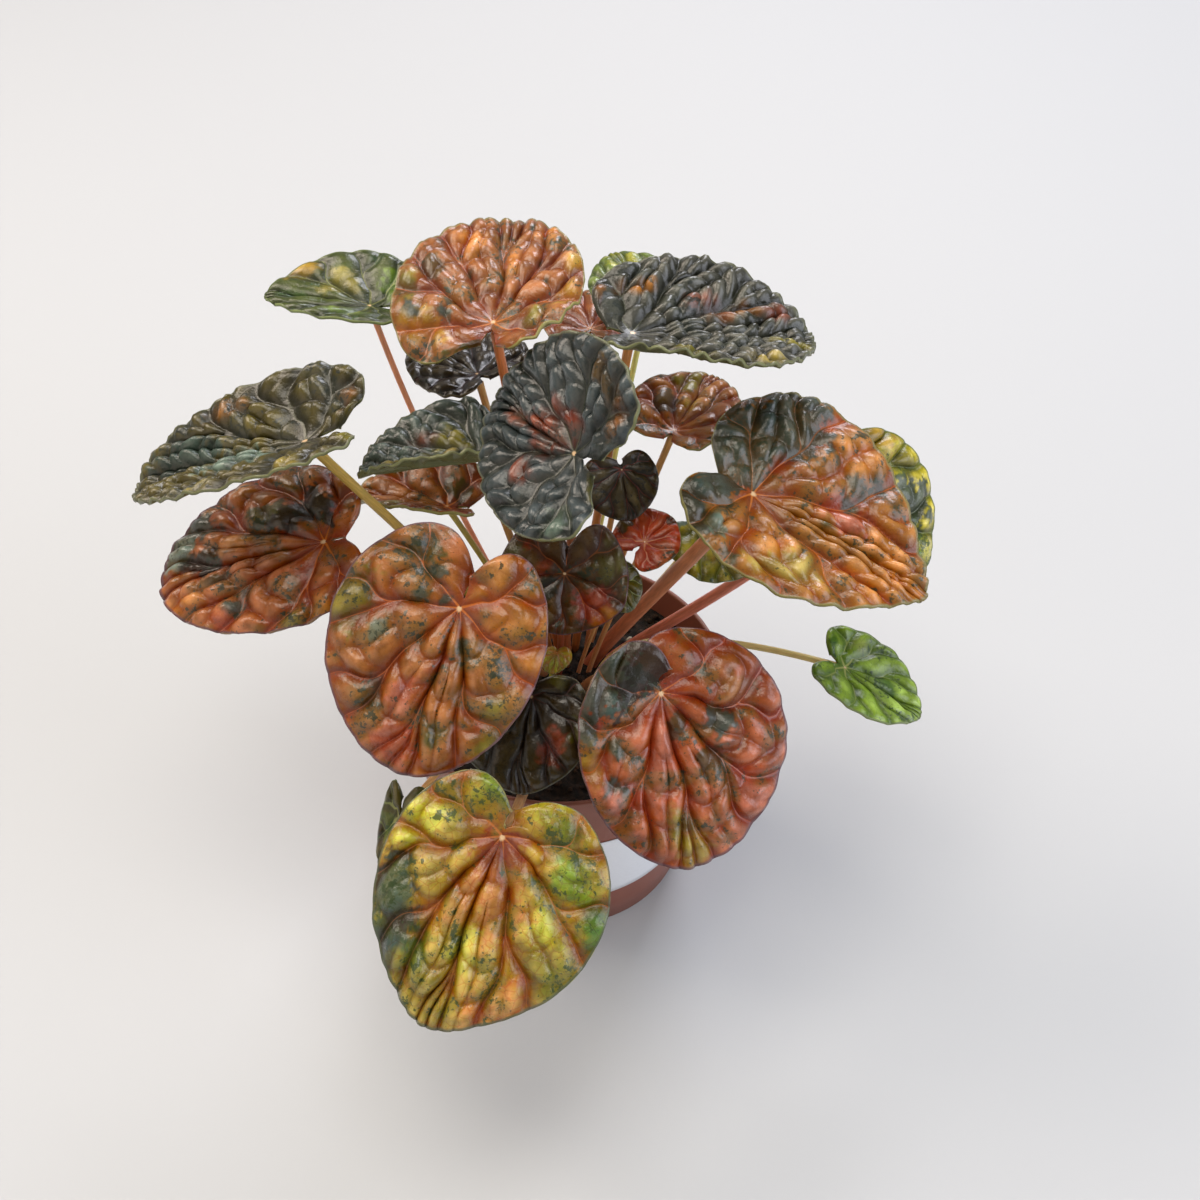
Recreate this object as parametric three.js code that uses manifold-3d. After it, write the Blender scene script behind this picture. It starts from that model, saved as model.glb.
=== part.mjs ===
// A ripple peperomia (Peperomia caperata) growing in a plain 9 cm plastic pot.
// Millimetres, +Z up. The origin is the centre of the pot's base, on the surface it stands on.
// Every leaf is two solids, a rippled blade and the round stalk that carries it. The stalks stand
// in plain holes in the soil, close round a short stem, and the soil fills the pot.

import * as THREE from 'three';
import { mergeVertices } from 'three/addons/utils/BufferGeometryUtils.js';
import Module from 'manifold-3d';

const manifold = await Module();
manifold.setup();

const degree = Math.PI / 180;
const clearance = 0.3;        // kept between solids that touch in life

// Pot: a thin tapered wall with a rounded rim and a flat floor with drain holes.
const potHeight = 72;
const potRimRadius = 45;
const potBaseRadius = 34.8;
const potWall = 1.45;
const potFloor = 1.8;
const potSides = 48;
const drainHoles = 6;
const drainRadius = 4;
const drainRingRadius = 20;

// Soil: peat that fills the pot to a little under its rim, with a lumpy top.
const soilTop = 63;
const soilSides = 30;
const soilRings = 7;
const clodHeight = 1.1;
const clodLength = 7;         // from one lump to the next

// Label: a blank paper strip round the front of the pot.
const labelBottom = 18;
const labelTop = 49;
const labelFrom = -150;       // degrees round the pot, -90 is the front
const labelTo = -35;
const labelThickness = 0.4;
const labelColumns = 20;

// Crown: the short stem among the stalks, a little behind the middle of the pot.
const crown = { x: 1, y: 15.5, radius: 1.6, bottom: 56, top: 67 };

// Stalks: cubic curves from the soil to the blade.
const stalkSides = 6;
const stalkSteps = 8;
const stalkStart = 8;         // how far a stalk first rises straight up, as a pull on the curve
const kneeShare = 0.62;       // where the knee lies between the root and the blade

// Blades: heart shapes with the stalk joined at the notch, eight ridges between nine veins.
const bladeThickness = 0.8;
const openAngle = 168;        // degrees from the tip round to each edge of the notch
const slitFrom = 0.26;        // share of the way to the margin where the notch's slit begins
const notchDepth = 0.6;
const notchWidth = 18;
const ridgesPerSide = 4;
const ridgeHeight = 2.4;
const ridgeShare = 0.055;     // of the blade's length, on leaves too small for the full height
const ridgeSlope = 0.22;      // of the distance from the junction, where ridges are narrow
const notchCalm = 0.4;        // share of their height that the ridges beside the notch keep
const marginShare = 0.6;      // of the ridge's height, at the margin
const crossFurrows = 3;       // from the junction to the margin
const furrowDepth = 0.6;      // of the ridge's height
const creaseRound = 3;        // how softly a folded blade turns at its midrib

// Leaf colours.
const lime = 0x9aa53a;
const rust = 0xb0603a;
const slate = 0x4c5650;
const green = 0x74904f;
const umber = 0x4a3a34;
const amber = 0xb5713a;
const stalkTint = 0xb08a68;

// The leaves. "at" is where the stalk meets the blade. heading is the tip's direction round the
// plant, pitch its rise, and roll lifts the blade's left side. long, back, left and right reach
// from the junction to the tip, the back lobes and the two sides. point narrows the tip, ahead
// moves the widest place forward, and cross carries the back lobes over each other. cup, fold,
// twist and bends shape the sheet: a bend is [direction, start, degrees per mm]. root is the
// stalk's foot as [distance, direction] from the crown, rise lifts the stalk's knee, and stalk
// is its radius.
const leaves = [
  {
    name: 'front_lime', tint: lime, at: [-12, -78, 104], heading: -120, pitch: -40, roll: -15,
    long: 49, back: 16, left: 30, right: 25, point: 0.4, ahead: 0.25, cross: 12, twist: -1.5,
    cup: -0.08, root: [10.6, -102], rise: -9, stalk: 1.3,
  },
  {
    name: 'front_red', tint: rust, at: [25, -46, 118], heading: -70, pitch: -50, roll: 0,
    long: 45, back: 15, left: 30, right: 23, point: 0.15, ahead: 0.28, cross: 35, twist: -3,
    cup: -0.08, root: [10.6, -67], rise: 12, stalk: 1.4,
  },
  {
    name: 'left_rust', tint: rust, at: [-22, -39, 140], heading: -120, pitch: -42, roll: -15,
    long: 42, back: 20, left: 23, right: 29, point: 0.1, ahead: 0.2, cross: 8, twist: 1,
    cup: -0.1, root: [7.4, -137], rise: 8, stalk: 1.4,
  },
  {
    name: 'left_teal', tint: rust, at: [-58, -7, 130], heading: 180, pitch: -17, roll: -20,
    long: 48, back: 14, left: 21, right: 24, point: 0.1, ahead: 0.2, cup: -0.1,
    root: [10.4, -160], rise: 10, stalk: 1.2,
  },
  {
    name: 'far_left_slate', tint: slate, at: [-60, -1, 158], heading: 178, pitch: -22, roll: 0,
    long: 48, back: 23, left: 20, right: 19, point: 0, ahead: 0.05, fold: 0.5,
    root: [7.2, -167], rise: 2, stalk: 1.25,
  },
  {
    name: 'back_left_green', tint: green, at: [-48, 43, 165], heading: 170, pitch: 0, roll: 0,
    long: 28, back: 16, left: 10, right: 16, point: 0.4, ahead: 0.1, fold: 0.4,
    root: [10.4, 150], rise: -20, stalk: 0.8,
  },
  {
    name: 'back_orange', tint: amber, at: [-15, 19, 178], heading: 83, pitch: 5, roll: -3,
    long: 38, back: 19, left: 25, right: 21, point: 0.1, fold: 0.2,
    bends: [[150, 6, -3], [-140, 8, 5]], root: [3.4, 125], rise: 4, stalk: 1.2,
  },
  {
    name: 'back_umber', tint: umber, at: [-21, 34, 150], heading: 130, pitch: -10, roll: 0,
    long: 27, back: 9, left: 13, right: 18, root: [7, 128], rise: 4, stalk: 1,
  },
  {
    name: 'upper_left_slate', tint: slate, at: [-19, 5, 147], heading: -178, pitch: -8, roll: 20,
    long: 31, back: 7, left: 11, right: 16, point: 0.1, ahead: 0.15, fold: 0.8,
    root: [3.4, -165], rise: 4, stalk: 1,
  },
  {
    name: 'centre_slate', tint: slate, at: [5, -19, 170], heading: 125, pitch: -12, roll: -48,
    long: 35, back: 23, left: 22, right: 26, ahead: 0.05, fold: 0.3,
    root: [3.4, -95], rise: 6, stalk: 1.2,
  },
  {
    name: 'back_right_slate', tint: slate, at: [18, 15, 178], heading: 8, pitch: -10, roll: 0,
    long: 46, back: 15, left: 22, right: 21, ahead: 0.35, fold: 0.4, bends: [[-110, 8, 3]],
    root: [3.4, 55], rise: 4, stalk: 1.15,
  },
  {
    name: 'back_green', tint: green, at: [23, 46, 165], heading: 113, pitch: 0, roll: 0,
    long: 22, back: 9, left: 13, right: 13, root: [8.4, 70], rise: 4, stalk: 0.8,
  },
  {
    name: 'back_bronze', tint: amber, at: [8, 53, 150], heading: 100, pitch: 0, roll: 0,
    long: 17, back: 9, left: 12, right: 12, root: [7.2, 95], rise: 4, stalk: 0.8,
  },
  {
    name: 'curled_amber', tint: amber, at: [29, 12, 150], heading: 63, pitch: 0, roll: 0,
    long: 24, back: 9, left: 14, right: 14, fold: 0.3, root: [8, 42], rise: 4, stalk: 0.9,
  },
  {
    name: 'right_salmon', tint: amber, at: [47, -11, 150], heading: -22, pitch: -22, roll: 8,
    long: 49, back: 19, left: 32, right: 24, point: 0.65, ahead: 0.12, fold: 0.15,
    root: [5.6, -22], rise: 0, stalk: 2,
  },
  {
    name: 'right_olive', tint: green, at: [74, 8, 131], heading: -15, pitch: -47, roll: 25,
    long: 32, back: 14, left: 24, right: 23, root: [9.4, -3], rise: -9, stalk: 1.6,
  },
  {
    name: 'right_pale', tint: green, at: [38, 14, 114], heading: -30, pitch: -24, roll: 12,
    long: 17, back: 12, left: 17, right: 13, root: [8, 12.5], rise: -2, stalk: 1,
  },
  {
    name: 'low_right_green', tint: green, at: [74, -18, 95], heading: -22, pitch: -25, roll: 0,
    long: 24, back: 13, left: 13, right: 12, point: 0.4, fold: 0.2, open: 163,
    root: [10.8, -36], rise: 15, straight: 30, stalk: 0.9,
  },
  {
    name: 'inner_umber', tint: umber, at: [16, 9, 140], heading: -75, pitch: -48, roll: 0,
    long: 13, back: 6, left: 9, right: 11, root: [6.2, 30], rise: 2, stalk: 0.8,
  },
  {
    name: 'centre_crimson', tint: rust, at: [2, -18, 130], heading: -100, pitch: -42, roll: 0,
    long: 15, back: 16, left: 16, right: 17, root: [7, -108], rise: 6, stalk: 0.9,
  },
  {
    name: 'inner_olive', tint: green, at: [15, -8, 118], heading: -60, pitch: -45, roll: 0,
    long: 9, back: 5, left: 6, right: 6, root: [6.8, -66], rise: 4, stalk: 0.6,
  },
  {
    name: 'inner_orange', tint: amber, at: [22, 0, 123], heading: 40, pitch: 15, roll: 15,
    long: 10, back: 9, left: 9, right: 8, root: [8.4, -50], rise: 2, stalk: 0.7,
  },
  {
    name: 'left_amber', tint: amber, at: [-29, 12, 124], heading: 165, pitch: -5, roll: 10,
    long: 26, back: 14, left: 12, right: 14, fold: 0.7, root: [7.2, 165], rise: 4, stalk: 0.8,
  },
  {
    name: 'front_umber', tint: umber, at: [-6, -42, 112], heading: -105, pitch: -52, roll: 0,
    long: 25, back: 10, left: 16, right: 20, root: [10.2, -86], rise: 5, stalk: 1,
  },
  {
    name: 'front_rolled', tint: green, at: [-38, -64, 92], heading: -110, pitch: -60, roll: 0,
    long: 20, back: 14, left: 8, right: 5, root: [10.6, -122], rise: 12, stalk: 0.8,
  },
  {
    name: 'sprout', tint: lime, at: [-1, -3, 84], heading: -100, pitch: -5, roll: 10,
    long: 7, back: 3, left: 4, right: 4, root: [14, -114], rise: 0, stalk: 0.5,
  },
];

// What a leaf has where its row says nothing.
const plainLeaf = {
  point: 0.3, ahead: 0.22, cross: 0, twist: 0, cup: 0, fold: 0, bends: [],
  open: openAngle, straight: stalkStart,
};

// Grid of a blade by its size, as [smallest long x wide, segments round it, rings].
const bladeGrids = [[1400, 24, 6], [380, 16, 5], [0, 16, 4]];

// ---- Solids ------------------------------------------------------------------------------

// Merges shared corners, drops faces that have closed up, and turns the body to face outwards.
function closed(geometry) {
  const bare = geometry.clone();
  bare.deleteAttribute('normal');
  bare.deleteAttribute('uv');
  const merged = mergeVertices(bare, 1e-4);
  const position = merged.getAttribute('position');
  const corners = merged.getIndex().array;
  const kept = [];
  const a = new THREE.Vector3();
  const b = new THREE.Vector3();
  const c = new THREE.Vector3();
  let volume = 0;
  for (let i = 0; i < corners.length; i += 3) {
    const [p, q, r] = corners.slice(i, i + 3);
    if (p === q || q === r || r === p) continue;
    kept.push([p, q, r]);
    a.fromBufferAttribute(position, p);
    b.fromBufferAttribute(position, q);
    c.fromBufferAttribute(position, r);
    volume += a.dot(b.cross(c));
  }
  const faces = volume < 0 ? kept.map(([p, q, r]) => [p, r, q]) : kept;
  return meshGeometry(position.array, faces.flat());
}

function meshGeometry(positions, corners) {
  const geometry = new THREE.BufferGeometry();
  geometry.setAttribute('position', new THREE.BufferAttribute(new Float32Array(positions), 3));
  geometry.setIndex([...corners]);
  return geometry;
}

function toManifold(geometry) {
  const body = closed(geometry);
  const vertProperties = body.getAttribute('position').array;
  const triVerts = new Uint32Array(body.getIndex().array);
  return new manifold.Manifold(new manifold.Mesh({ numProp: 3, vertProperties, triVerts }));
}

function cutAway(geometry, tools) {
  let solid = toManifold(geometry);
  for (const tool of tools) solid = solid.subtract(toManifold(tool));
  const { vertProperties, triVerts } = solid.getMesh();
  return closed(meshGeometry(vertProperties, triVerts));
}

// A profile of [radius, height] points turned round the Z axis.
function turned(profile, sides) {
  const points = profile.map(([radius, height]) => new THREE.Vector2(radius, height));
  return new THREE.LatheGeometry(points, sides).rotateX(90 * degree);
}

// A sheet given as points, faces and the loop of its free edge, made solid by half its
// thickness to each side. Both faces are split into the same triangles. The points listed as
// upright are thickened along "up" instead of their own normal.
function thickened(points, faces, loop, thickness, upright = [], up = null) {
  const sheet = meshGeometry(points.flatMap((point) => point.toArray()), faces.flat());
  sheet.computeVertexNormals();
  const normals = sheet.getAttribute('normal');
  const count = points.length;
  const normal = new THREE.Vector3();
  const positions = [];
  for (const side of [0.5, -0.5]) {
    points.forEach((point, i) => {
      if (upright.includes(i)) normal.copy(up);
      else normal.fromBufferAttribute(normals, i);
      positions.push(...point.clone().addScaledVector(normal, side * thickness).toArray());
    });
  }
  const corners = [];
  for (const [p, q, r] of faces) corners.push(p, q, r, count + p, count + r, count + q);
  loop.forEach((p, i) => {
    const q = loop[(i + 1) % loop.length];
    corners.push(p, count + p, q, q, count + p, count + q);
  });
  return closed(meshGeometry(positions, corners));
}

// ---- Pot, soil, label and crown ----------------------------------------------------------

function potRadius(height) {
  return potBaseRadius + (potRimRadius - potBaseRadius) * height / potHeight;
}

function makePot() {
  const rimRound = potWall / 2;
  const rimCentre = [potRimRadius - rimRound, potHeight - rimRound];
  const profile = [[0, 0], [potBaseRadius - 0.8, 0], [potRadius(1), 1]];
  for (const angle of [0, 45, 90, 135, 180]) {
    profile.push([
      rimCentre[0] + rimRound * Math.cos(angle * degree),
      rimCentre[1] + rimRound * Math.sin(angle * degree),
    ]);
  }
  profile.push([potRadius(potFloor) - potWall, potFloor], [0, potFloor]);
  const drains = [];
  for (let i = 0; i < drainHoles; i += 1) {
    const angle = i * 360 / drainHoles * degree;
    const drain = new THREE.CylinderGeometry(drainRadius, drainRadius, 4 * potFloor, 12);
    drain.rotateX(90 * degree);
    drain.translate(drainRingRadius * Math.cos(angle), drainRingRadius * Math.sin(angle), 0);
    drains.push(drain);
  }
  return cutAway(turned(profile, potSides), drains);
}

// Height of the lumps in the soil's top: three crossed waves, flattened towards the wall.
function clods(x, y) {
  const turn = 2 * Math.PI / clodLength;
  const lumps = Math.sin(turn * x + 1.3) * Math.sin(turn * 0.9 * y)
    + 0.7 * Math.sin(turn * 0.63 * (x + y))
    + 0.5 * Math.sin(turn * 1.45 * (x - 0.6 * y) + 2);
  return clodHeight * lumps / 2;
}

function soilRadius(height) {
  return potRadius(height) - potWall - clearance;
}

function makeSoil(holes) {
  const bottom = potFloor + clearance;
  const profile = [[0, bottom], [soilRadius(bottom), bottom]];
  for (let i = soilRings; i >= 0; i -= 1) profile.push([soilRadius(soilTop) * i / soilRings, soilTop]);
  const body = turned(profile, soilSides);
  const position = body.getAttribute('position');
  const inside = soilRadius(soilTop) - 1;
  for (let i = 0; i < position.count; i += 1) {
    const x = position.getX(i);
    const y = position.getY(i);
    if (position.getZ(i) > soilTop - 1 && Math.hypot(x, y) < inside) {
      position.setZ(i, soilTop + clods(x, y));
    }
  }
  return cutAway(body, holes);
}

function makeLabel() {
  const points = [];
  const faces = [];
  const across = labelColumns + 1;
  for (const height of [labelBottom, labelTop]) {
    const radius = potRadius(height) + clearance + labelThickness / 2;
    for (let i = 0; i < across; i += 1) {
      const angle = (labelFrom + (labelTo - labelFrom) * i / labelColumns) * degree;
      points.push(new THREE.Vector3(radius * Math.cos(angle), radius * Math.sin(angle), height));
    }
  }
  for (let i = 0; i < labelColumns; i += 1) {
    faces.push([i, i + 1, across + i + 1], [i, across + i + 1, across + i]);
  }
  const lower = [...Array(across).keys()];
  const upper = lower.map((i) => across + i).reverse();
  return thickened(points, faces, [...lower, ...upper], labelThickness);
}

function crownBody(extra) {
  const radius = crown.radius + extra;
  const shoulder = crown.top - radius;
  const profile = [[0, crown.bottom - extra], [radius, crown.bottom - extra], [radius, shoulder]];
  for (const angle of [30, 60, 90]) {
    profile.push([radius * Math.cos(angle * degree), shoulder + radius * Math.sin(angle * degree)]);
  }
  profile.at(-1)[0] = 0;
  return turned(profile, 10).translate(crown.x, crown.y, 0);
}

// ---- Leaves ------------------------------------------------------------------------------

// The blade's own axes: forward to the tip, left, and up out of its face.
function bladeAxes(leaf) {
  const heading = leaf.heading * degree;
  const pitch = leaf.pitch * degree;
  const forward = new THREE.Vector3(
    Math.cos(pitch) * Math.cos(heading),
    Math.cos(pitch) * Math.sin(heading),
    Math.sin(pitch),
  );
  const left = new THREE.Vector3(-Math.sin(heading), Math.cos(heading), 0);
  left.applyAxisAngle(forward, leaf.roll * degree);
  const up = forward.clone().cross(left);
  return { forward, left, up };
}

// The flat heart shape. s runs from the junction (0) to the margin (1), and u runs round the
// blade from one edge of the notch (-1) past the tip (0) to the other (1), positive to the left.
function flatPlace(leaf, s, u) {
  const turn = s > slitFrom ? leaf.open + leaf.cross * s * s : 180;
  const angle = u * turn * degree;
  const along = Math.cos(angle);
  const ahead = leaf.ahead * leaf.long;
  const reach = along > 0 ? leaf.long - ahead : leaf.back + ahead;
  const side = u >= 0 ? leaf.left : leaf.right;
  const narrowing = 1 - leaf.point * Math.max(along, 0) ** 3;
  const fromNotch = (1 - Math.abs(u)) * 180 / notchWidth;
  const share = s * (1 - notchDepth * Math.exp(-(fromNotch ** 2)));
  return [share * (ahead + reach * along), share * side * Math.sin(angle) * narrowing];
}

// Ridges between the veins, broken by cross furrows that alternate from ridge to ridge.
function ripple(leaf, s, u, distance) {
  const ridge = Math.abs(u) * ridgesPerSide;
  const height = Math.min(ridgeHeight, ridgeShare * leaf.long, ridgeSlope * distance);
  const crest = Math.sin(Math.PI * ridge) ** 2;
  const furrow = Math.sin(Math.PI * (crossFurrows * s + Math.floor(ridge) / 2)) ** 2;
  const atMargin = s > 0.95 ? marginShare : 1;
  const atNotch = ridge > ridgesPerSide - 1 ? notchCalm + (1 - notchCalm) * s * s : 1;
  return height * crest * atMargin * atNotch * (1 - furrowDepth * furrow);
}

// Rolls what lies beyond "start" in one direction of the blade up or down to an arc.
function bent([direction, start, rate], x, y, z) {
  const dx = Math.cos(direction * degree);
  const dy = Math.sin(direction * degree);
  const beyond = x * dx + y * dy - start;
  if (beyond <= 0) return [x, y, z];
  const radius = 1 / (rate * degree);
  const angle = beyond / radius;
  const shift = Math.sin(angle) * (radius - z) - beyond;
  return [x + shift * dx, y + shift * dy, radius - Math.cos(angle) * (radius - z)];
}

function bladePoint(leaf, axes, s, u) {
  let [x, y] = flatPlace(leaf, s, u);
  let z = leaf.cup * (x * x + y * y) / leaf.long;
  z += leaf.fold * (Math.hypot(y, creaseRound) - creaseRound);
  z += leaf.twist * u ** 3 * s * s;
  z += ripple(leaf, s, u, Math.hypot(x, y));
  for (const bend of leaf.bends) [x, y, z] = bent(bend, x, y, z);
  return new THREE.Vector3(...leaf.at)
    .addScaledVector(axes.forward, x)
    .addScaledVector(axes.left, y)
    .addScaledVector(axes.up, z);
}

function makeBlade(leaf, axes) {
  const size = leaf.long * (leaf.left + leaf.right);
  const [, segments, rings] = bladeGrids.find(([smallest]) => size >= smallest);
  const across = segments + 1;
  const points = [bladePoint(leaf, axes, 0, 0)];
  for (let ring = 1; ring <= rings; ring += 1) {
    for (let i = 0; i < across; i += 1) {
      points.push(bladePoint(leaf, axes, ring / rings, 2 * i / segments - 1));
    }
  }
  const at = (ring, i) => {
    if (ring === 0) return 0;
    const closing = ring === 1 && i === segments;       // the first ring closes behind the junction
    return 1 + (ring - 1) * across + (closing ? 0 : i);
  };
  const faces = [];
  for (let i = 0; i < segments; i += 1) {
    faces.push([0, at(1, i), at(1, i + 1)]);
    for (let ring = 1; ring < rings; ring += 1) {
      const [p, q, r, t] = [at(ring, i), at(ring + 1, i), at(ring + 1, i + 1), at(ring, i + 1)];
      if (i < segments / 2) faces.push([p, q, t], [t, q, r]);
      else faces.push([p, q, r], [p, r, t]);
    }
  }
  const loop = [];
  for (let ring = 1; ring <= rings; ring += 1) loop.push(at(ring, 0));
  for (let i = 1; i < segments; i += 1) loop.push(at(rings, i));
  for (let ring = rings; ring >= 2; ring -= 1) loop.push(at(ring, segments));
  const upright = [0];
  for (let i = 0; i < segments; i += 1) upright.push(at(1, i));
  for (let ring = 2; ring <= rings; ring += 1) upright.push(at(ring, 0), at(ring, segments));
  return thickened(points, faces, loop, bladeThickness, upright, axes.up);
}

// The stalk's middle line, from its foot in the soil to just under the blade.
function stalkLine(leaf, axes) {
  const [distance, direction] = leaf.root;
  const foot = new THREE.Vector3(
    crown.x + distance * Math.cos(direction * degree),
    crown.y + distance * Math.sin(direction * degree),
    crown.bottom,
  );
  const junction = new THREE.Vector3(...leaf.at);
  const knee = foot.clone().lerp(junction, kneeShare);
  knee.z += leaf.rise;
  const arrival = junction.clone().sub(knee).normalize();
  const slant = arrival.cross(axes.up).length();
  const below = bladeThickness / 2 + clearance + leaf.stalk * slant;
  const end = junction.addScaledVector(axes.up, -below);
  const rising = foot.clone();
  rising.z += leaf.straight;
  return new THREE.CubicBezierCurve3(foot, rising, knee, end);
}

function roundBar(line, radius, steps) {
  const section = new THREE.Shape();
  for (let i = 0; i < stalkSides; i += 1) {
    const angle = i * 360 / stalkSides * degree;
    const x = radius * Math.cos(angle);
    const y = radius * Math.sin(angle);
    if (i === 0) section.moveTo(x, y);
    else section.lineTo(x, y);
  }
  return new THREE.ExtrudeGeometry(section, { steps, extrudePath: line });
}

// What the soil leaves free round a stalk and under its level foot.
function stalkHole(leaf, line) {
  const radius = leaf.stalk + clearance;
  const under = line.v0.clone().setZ(crown.bottom - clearance);
  const above = line.v0.clone().setZ(crown.bottom + 0.05);
  return [roundBar(line, radius, stalkSteps), roundBar(new THREE.LineCurve3(under, above), radius, 1)];
}

// ---- The plant in its pot ----------------------------------------------------------------

const plant = new THREE.Group();

function addPiece(name, geometry, color, roughness) {
  const material = new THREE.MeshStandardMaterial({ color, roughness, metalness: 0 });
  const piece = new THREE.Mesh(geometry, material);
  piece.name = name;
  plant.add(piece);
}

const soilHoles = [crownBody(clearance)];
for (const row of leaves) {
  const leaf = { ...plainLeaf, ...row };
  const axes = bladeAxes(leaf);
  const line = stalkLine(leaf, axes);
  addPiece(`${leaf.name}_blade`, makeBlade(leaf, axes), leaf.tint, 0.4);
  addPiece(`${leaf.name}_stalk`, closed(roundBar(line, leaf.stalk, stalkSteps)), stalkTint, 0.5);
  soilHoles.push(...stalkHole(leaf, line));
}
addPiece('crown', closed(crownBody(0)), 0x8a6a4c, 0.7);
addPiece('soil', makeSoil(soilHoles), 0x2a211c, 0.95);
addPiece('pot', makePot(), 0x8c5648, 0.45);
addPiece('label', makeLabel(), 0xf2f2ee, 0.6);

export default plant;
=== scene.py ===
import math
import random
from functools import partial

import bmesh
import bpy
import numpy as np
from mathutils import Matrix, Vector, noise


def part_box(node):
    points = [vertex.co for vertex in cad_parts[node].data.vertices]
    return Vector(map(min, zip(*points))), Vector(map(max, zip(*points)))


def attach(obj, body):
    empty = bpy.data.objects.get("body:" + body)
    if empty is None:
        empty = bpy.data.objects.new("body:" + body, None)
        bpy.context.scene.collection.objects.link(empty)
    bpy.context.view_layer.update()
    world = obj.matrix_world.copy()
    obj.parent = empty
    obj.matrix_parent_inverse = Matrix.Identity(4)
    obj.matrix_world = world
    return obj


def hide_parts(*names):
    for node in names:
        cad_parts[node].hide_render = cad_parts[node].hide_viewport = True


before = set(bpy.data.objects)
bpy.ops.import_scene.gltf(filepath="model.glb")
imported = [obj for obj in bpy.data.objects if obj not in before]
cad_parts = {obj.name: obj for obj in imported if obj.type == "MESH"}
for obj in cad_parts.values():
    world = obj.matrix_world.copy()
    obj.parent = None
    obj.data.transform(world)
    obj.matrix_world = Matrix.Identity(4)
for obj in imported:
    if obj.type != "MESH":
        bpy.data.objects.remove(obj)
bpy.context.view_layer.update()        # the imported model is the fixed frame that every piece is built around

# A ripple peperomia in a 9 cm plastic pot. Lengths are in millimetres and turned to metres
# as each mesh is made. A blade is laid out by s, from its stalk's junction (0) to the margin (1),
# and u, from one edge of the notch (-1) past the tip (0) to the other edge (1), positive to the left.
mm = 0.001
weldWithin = 0.004
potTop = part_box("pot")[1].z / mm
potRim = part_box("pot")[1].x / mm


def linear(hexColour):          # an sRGB hex colour as linear red, green, blue and alpha
    parts = [int(hexColour[i:i + 2], 16) / 255 for i in (1, 3, 5)]
    return [p / 12.92 if p <= 0.04045 else ((p + 0.055) / 1.055) ** 2.4 for p in parts] + [1.0]


def smooth(value):              # an eased step from 0 to 1
    t = np.clip(value, 0, 1)
    return t * t * (3 - 2 * t)


def chance(*parts):             # a repeatable number from 0 to 1 for any set of numbers
    total = sum(part * weight for part, weight in zip(parts, (12.9898, 78.233, 37.719, 93.99)))
    return np.mod(np.sin(total) * 43758.5453, 1)


def wander(x, y, length, seed):  # crossed uneven waves about `length` apart, from -1 to 1
    a = 2 * math.pi / length
    first = np.sin(a * x + 1.7 * seed + 1.4 * np.sin(0.83 * a * y + seed))
    second = np.sin(a * (0.55 * x + 0.8 * y) + 2.9 * seed + 1.2 * np.sin(0.71 * a * (x - y) - seed))
    return (first + second) / 2


def addNode(tree, kind, inputs=None, **settings):   # adds a node with its settings, values and links
    node = tree.nodes.new("ShaderNode" + kind)
    for name, value in settings.items():
        setattr(node, name, value)
    for name, value in (inputs or {}).items():
        if isinstance(value, bpy.types.NodeSocket):
            tree.links.new(value, node.inputs[name])
        else:
            node.inputs[name].default_value = value
    return node.outputs


def newMaterial(name, shader):
    # a material whose one Principled shader holds the plain values, and what adds and joins its nodes
    material = bpy.data.materials.new(name)
    material.use_nodes = True
    tree = material.node_tree
    principled = tree.nodes["Principled BSDF"]
    for socket, value in shader.items():
        principled.inputs[socket].default_value = value

    def join(socket, output):
        tree.links.new(output, principled.inputs[socket])

    return material, partial(addNode, tree), join


def addObject(name, data):      # an object of its data, linked into the scene
    thing = bpy.data.objects.new(name, data)
    bpy.context.scene.collection.objects.link(thing)
    return thing


def finishMesh(bm, name, materials, replaced=(), closed=True):
    # closes seams and poles, points the faces outwards and lets the mesh ride on the plant
    bmesh.ops.remove_doubles(bm, verts=bm.verts, dist=weldWithin * mm)
    if closed:
        bmesh.ops.recalc_face_normals(bm, faces=bm.faces)
    for face in bm.faces:
        face.smooth = True
    mesh = bpy.data.meshes.new(name)
    bm.to_mesh(mesh)
    bm.free()
    for material in materials:
        mesh.materials.append(material)
    piece = addObject(name, mesh)
    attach(piece, "root")
    for node in replaced:
        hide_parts(node)
    return piece


def gridMesh(columns, rows):    # a bmesh grid and its vertices' places from 0 to 1
    bm = bmesh.new()
    bmesh.ops.create_grid(bm, x_segments=columns, y_segments=rows, size=0.5)
    places = np.array([v.co[:2] for v in bm.verts]) + 0.5
    return bm, places[:, 0], places[:, 1]


def lay(bm, points):            # moves a bmesh's vertices to points given in millimetres
    for vertex, point in zip(bm.verts, np.asarray(points) * mm):
        vertex.co = point


def note(bm, kind, name, values):   # writes one value a vertex into an attribute
    layers = {"colour": bm.verts.layers.float_color, "vector": bm.verts.layers.float_vector}
    layer = layers[kind].new(name)
    for vertex, value in zip(bm.verts, values):
        vertex[layer] = value


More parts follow.
